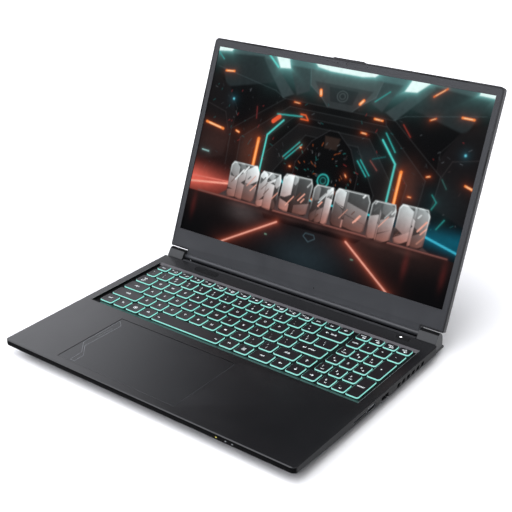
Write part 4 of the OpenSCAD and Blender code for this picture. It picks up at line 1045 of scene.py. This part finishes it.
    # a row of cut metal blocks, no two alike: stacked slabs with bright tops, dark cuts and ember-lit feet
    x, top, hgt = 0.247, 0.574, 0.188
    widths = (0.185, 0.13, 0.18, 0.115, 0.2, 0.135, 0.165)
    for k, w in enumerate(widths):
        lean = (-0.006, 0.004, 0.0, 0.007, -0.004, 0.003, -0.002)[k]
        y0 = top + (0.0, 0.012, -0.004, 0.01, 0.002, 0.014, 0.0)[k]
        cuts = [0.0] + sorted(0.22 + 0.56 * rng.random(2)) + [1.0]
        outline = [(x + 0.012, y0), (x + w - 0.014 + lean, y0 - 0.003), (x + w, y0 + 0.03), (x + w - 0.004, y0 + hgt - 0.014), (x + w - 0.018, y0 + hgt), (x + 0.01, y0 + hgt), (x, y0 + hgt - 0.02), (x - 0.002, y0 + 0.022)]
        body = poly(outline)
        hh = np.clip((t - y0) / hgt, 0, 1)[..., None]
        cold, warm = np.array((0.5, 0.56, 0.57)), np.array((0.24, 0.1, 0.08))
        tone = cold * (1 - hh) ** 1.5 + warm * hh
        ins = np.clip(0.5 + body / px, 0, 1)
        img[:] = img * (1 - ins[..., None]) + ins[..., None] * tone * 0.22
        for a, b in zip(cuts, cuts[1:]):
            xa, xb = x + a * w, x + b * w
            nf = 3
            ys = [0.0] + sorted(0.2 + 0.6 * rng.random(nf - 1)) + [1.0]
            for ya, yb in zip(ys, ys[1:]):
                sk = rng.uniform(-0.028, 0.028)
                q = [(xa, y0 + ya * hgt + sk), (xb, y0 + ya * hgt - sk), (xb, y0 + yb * hgt - sk), (xa, y0 + yb * hgt + sk)]
                g = (0.18, 0.45, 0.8, 1.25, 1.7)[rng.integers(5)]
                mm = (np.clip(0.5 + (poly(q) - 0.0012) / px, 0, 1) * ins)[..., None]
                run = 0.75 + 0.5 * np.clip((s - xa) / (xb - xa + 1e-6), 0, 1)[..., None]
                img[:] = img * (1 - mm) + mm * tone * g * run
        # slanted reflections and engraved cuts
        for j in range(6):
            gx_, gy_ = x + w * rng.uniform(0.0, 0.9), y0 + hgt * rng.uniform(0.02, 0.9)
            a = (-0.95, -0.95, -0.9)[rng.integers(3)]
            l = rng.uniform(0.02, 0.075)
            wd = rng.uniform(0.0014, 0.0042)
            v = (0.12, 0.5, 0.75, 1.0)[rng.integers(4)]
            col = np.array((0.86, 0.9, 0.9)) * v if gy_ < y0 + 0.5 * hgt else np.array((0.9, 0.42, 0.32)) * v
            d = seg(gx_, gy_, gx_ + l * math.cos(a), gy_ + l * math.sin(a))
            cover(0.9 * (0.5 + (wd - d) / px) * (body > 0.003), col)
        # lit upper rim, dark lower rim
        rimm = np.exp(-((body - 0.003) / 0.0026) ** 2)
        add(0.8 * rimm * np.clip(1.15 - 1.6 * hh[..., 0], 0, 1), (0.6, 0.64, 0.64))
        cover(0.8 * rimm * np.clip(2.2 * hh[..., 0] - 1.3, 0, 1), (0.02, 0.01, 0.01))
        add(0.55 * np.exp(-((s - x - w / 2) / (w * 0.42)) ** 2) * np.exp(-((t - 0.792) / 0.014) ** 2), (0.05, 0.022, 0.018))
        x += w + 0.012
    # slight unevenness, and falling off to the lower corners
    n = rng.normal(0, 1, (H // 6 + 2, W // 6 + 2))
    yi, xi = t[:, 0] * (H // 6), s[0] / 1.6 * (W // 6)
    y0i, x0i = yi.astype(int), xi.astype(int)
    fy, fx = (yi - y0i)[:, None], (xi - x0i)[None, :]
    nn = (n[y0i][:, x0i] * (1 - fy) * (1 - fx) + n[y0i + 1][:, x0i] * fy * (1 - fx) + n[y0i][:, x0i + 1] * (1 - fy) * fx + n[y0i + 1][:, x0i + 1] * fy * fx)
    img *= (1 + 0.04 * nn)[..., None]
    lum = img.mean(2, keepdims=True)
    img *= lum / (lum + 0.0045)
    vg = 1 - 0.5 * np.clip((np.abs(s - 0.8) / 0.8) ** 3, 0, 1) * np.clip((t - 0.5) / 0.5, 0, 1)
    img *= vg[..., None]
    return np.clip(img, 0.0008, 1.0)


GW, GH = 380, 236
art = picture(GW * 2, GH * 2).reshape(GH, 2, GW, 2, 3).mean((1, 3))
SX0, SX1, SV0, SV1, SW = -172.3, 172.3, 21.95, 237.25, -1.2
gx = np.linspace(SX0, SX1, GW + 1)
gv = np.linspace(SV1, SV0, GH + 1)
vx, vv = np.meshgrid(gx, gv)
base_p, ux, uv = L(0, 0, SW), Vector((MM, 0, 0)), LID_V * MM
co = np.array(base_p)[None] + vx.ravel()[:, None] * np.array(ux)[None] + vv.ravel()[:, None] * np.array(uv)[None]
nv = len(co)
rim_b = [L(x, v, -1.245) for x, v in ((SX0, SV1), (SX1, SV1), (SX1, SV0), (SX0, SV0))]
co = np.vstack([co, np.array([tuple(p) for p in rim_b])])
ii = np.arange(GH)[:, None] * (GW + 1) + np.arange(GW)[None]
quads = np.stack([ii, ii + GW + 1, ii + GW + 2, ii + 1], -1).reshape(-1, 4)
top_e = list(range(0, GW + 1))
bot_e = list(range(GH * (GW + 1), GH * (GW + 1) + GW + 1))
lef_e = list(range(0, GH * (GW + 1) + 1, GW + 1))
rig_e = list(range(GW, GH * (GW + 1) + GW + 1, GW + 1))
A, B_, C_, D_ = nv, nv + 1, nv + 2, nv + 3
faces = [tuple(q) for q in quads.tolist()]
nq = len(faces)
faces += [tuple(top_e) + (B_, A), tuple(reversed(bot_e)) + (D_, C_), tuple(reversed(lef_e)) + (A, D_), tuple(rig_e) + (C_, B_), (A, B_, C_, D_)]
me = bpy.data.meshes.new("screen_picture")
me.from_pydata(co.tolist(), [], faces)
attr = me.color_attributes.new("picture", "FLOAT_COLOR", "CORNER")
sizes = [4] * nq + [len(f) for f in faces[nq:]]
vals = np.zeros((sum(sizes), 4), np.float32)
vals[:, 3] = 1
# corners take the average of the cells round each vertex, so the picture is smooth
pad_art = np.pad(art, ((1, 1), (1, 1), (0, 0)), mode="edge")
vcol = (pad_art[:-1, :-1] + pad_art[1:, :-1] + pad_art[:-1, 1:] + pad_art[1:, 1:]) / 4
vcol = vcol.reshape(-1, 3)
cell = art.reshape(-1, 3)
for k in range(4):
    vals[k:nq * 4:4, :3] = 0.35 * vcol[quads[:, k]] + 0.65 * cell
attr.data.foreach_set("color", vals.ravel())
scr = Mat("screen_glow")
at = scr.node("ShaderNodeVertexColor", layer_name="picture")
# faint dot pitch of the display
wv = scr.noise(2400, 1, 0.5)
mp = scr.map(wv, "Fac", 0.94, 1.06, 0.3, 0.7)
cc = scr.node("ShaderNodeCombineColor")
for k in ("Red", "Green", "Blue"):
    scr.link(mp, "Result", cc, k)
mu = scr.node("ShaderNodeMix", data_type="RGBA", blend_type="MULTIPLY")
mu.inputs[0].default_value = 1.0
scr.link(at, "Color", mu, 6)
scr.link(cc, "Color", mu, 7)
scr.link(mu, 2, scr.b, "Emission Color")
scr.b.inputs["Emission Strength"].default_value = 1.0
scr.b.inputs["Base Color"].default_value = (0.0012, 0.0012, 0.0014, 1)
scr.b.inputs["Roughness"].default_value = 0.35
scr.b.inputs["Specular IOR Level"].default_value = 0.02
try:
    scr.m.cycles.emission_sampling = "NONE"
except (AttributeError, TypeError):
    pass
me.materials.append(scr.m)
me.update()
so = bpy.data.objects.new("screen_picture", me)
scene.collection.objects.link(so)
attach(so, "lid")

# ------------------------------------------------------------------ floor and light
def flat(name, size, z, mat):
    me = bpy.data.meshes.new(name)
    s = size / 2
    me.from_pydata([(-s, -s, z), (s, -s, z), (s, s, z), (-s, s, z)], [], [(0, 1, 2, 3)])
    me.materials.append(mat)
    o = bpy.data.objects.new(name, me)
    scene.collection.objects.link(o)
    return o


fl = Mat("floor_paper")
fl.b.inputs["Base Color"].default_value = (0.93, 0.93, 0.93, 1)
fl.b.inputs["Roughness"].default_value = 0.9
fl.b.inputs["Specular IOR Level"].default_value = 0.1
flat("floor", 30, -0.0002, fl.m)

world = bpy.data.worlds.new("world")
world.use_nodes = True
wt = world.node_tree
bg = wt.nodes["Background"]
bg.inputs["Strength"].default_value = 1.0
wtc = wt.nodes.new("ShaderNodeTexCoord")


def sky(az, el, inner, outer, gain):
    """A soft bright patch of the room: az degrees from +Y towards -X, el degrees up."""
    d = (-math.sin(math.radians(az)) * math.cos(math.radians(el)), math.cos(math.radians(az)) * math.cos(math.radians(el)), math.sin(math.radians(el)))
    dot = wt.nodes.new("ShaderNodeVectorMath")
    dot.operation = "DOT_PRODUCT"
    wt.links.new(wtc.outputs["Generated"], dot.inputs[0])
    dot.inputs[1].default_value = d
    mr = wt.nodes.new("ShaderNodeMapRange")
    mr.interpolation_type = "SMOOTHSTEP"
    mr.inputs["From Min"].default_value = math.cos(math.radians(outer))
    mr.inputs["From Max"].default_value = math.cos(math.radians(inner))
    mr.inputs["To Min"].default_value = 0.0
    mr.inputs["To Max"].default_value = gain
    wt.links.new(dot.outputs["Value"], mr.inputs["Value"])
    return mr.outputs["Result"]


# the window low on the left that shades the palm rest, the soft box in front for the lid, and dim fills
PATCHES = ((80, 12, 32.5, 39.5, 1.95), (141, 56, 26, 43, 2.7), (0, 90, 18, 46, 0.5), (215, 24, 10, 60, 0.3), (290, 30, 12, 50, 0.35), (350, 18, 8, 26, 0.25))
total = None
for patch in PATCHES:
    o = sky(*patch)
    if total is None:
        total = o
    else:
        ad = wt.nodes.new("ShaderNodeMath")
        wt.links.new(total, ad.inputs[0])
        wt.links.new(o, ad.inputs[1])
        total = ad.outputs[0]
ad = wt.nodes.new("ShaderNodeMath")
wt.links.new(total, ad.inputs[0])
ad.inputs[1].default_value = 0.035
cmb = wt.nodes.new("ShaderNodeCombineColor")
for k in range(3):
    tint = wt.nodes.new("ShaderNodeMath")
    tint.operation = "MULTIPLY"
    wt.links.new(ad.outputs[0], tint.inputs[0])
    tint.inputs[1].default_value = (0.98, 0.99, 1.05)[k]
    wt.links.new(tint.outputs[0], cmb.inputs[k])
wt.links.new(cmb.outputs[0], bg.inputs["Color"])
scene.world = world
sun_d = bpy.data.lights.new("soft_sun", "SUN")
sun_d.energy = 1.5
sun_d.angle = math.radians(50)
sun = bpy.data.objects.new("soft_sun", sun_d)
scene.collection.objects.link(sun)
sun.rotation_mode = "QUATERNION"
sun.rotation_quaternion = Vector((-0.22, 0.34, -0.91)).to_track_quat("-Z", "Y")
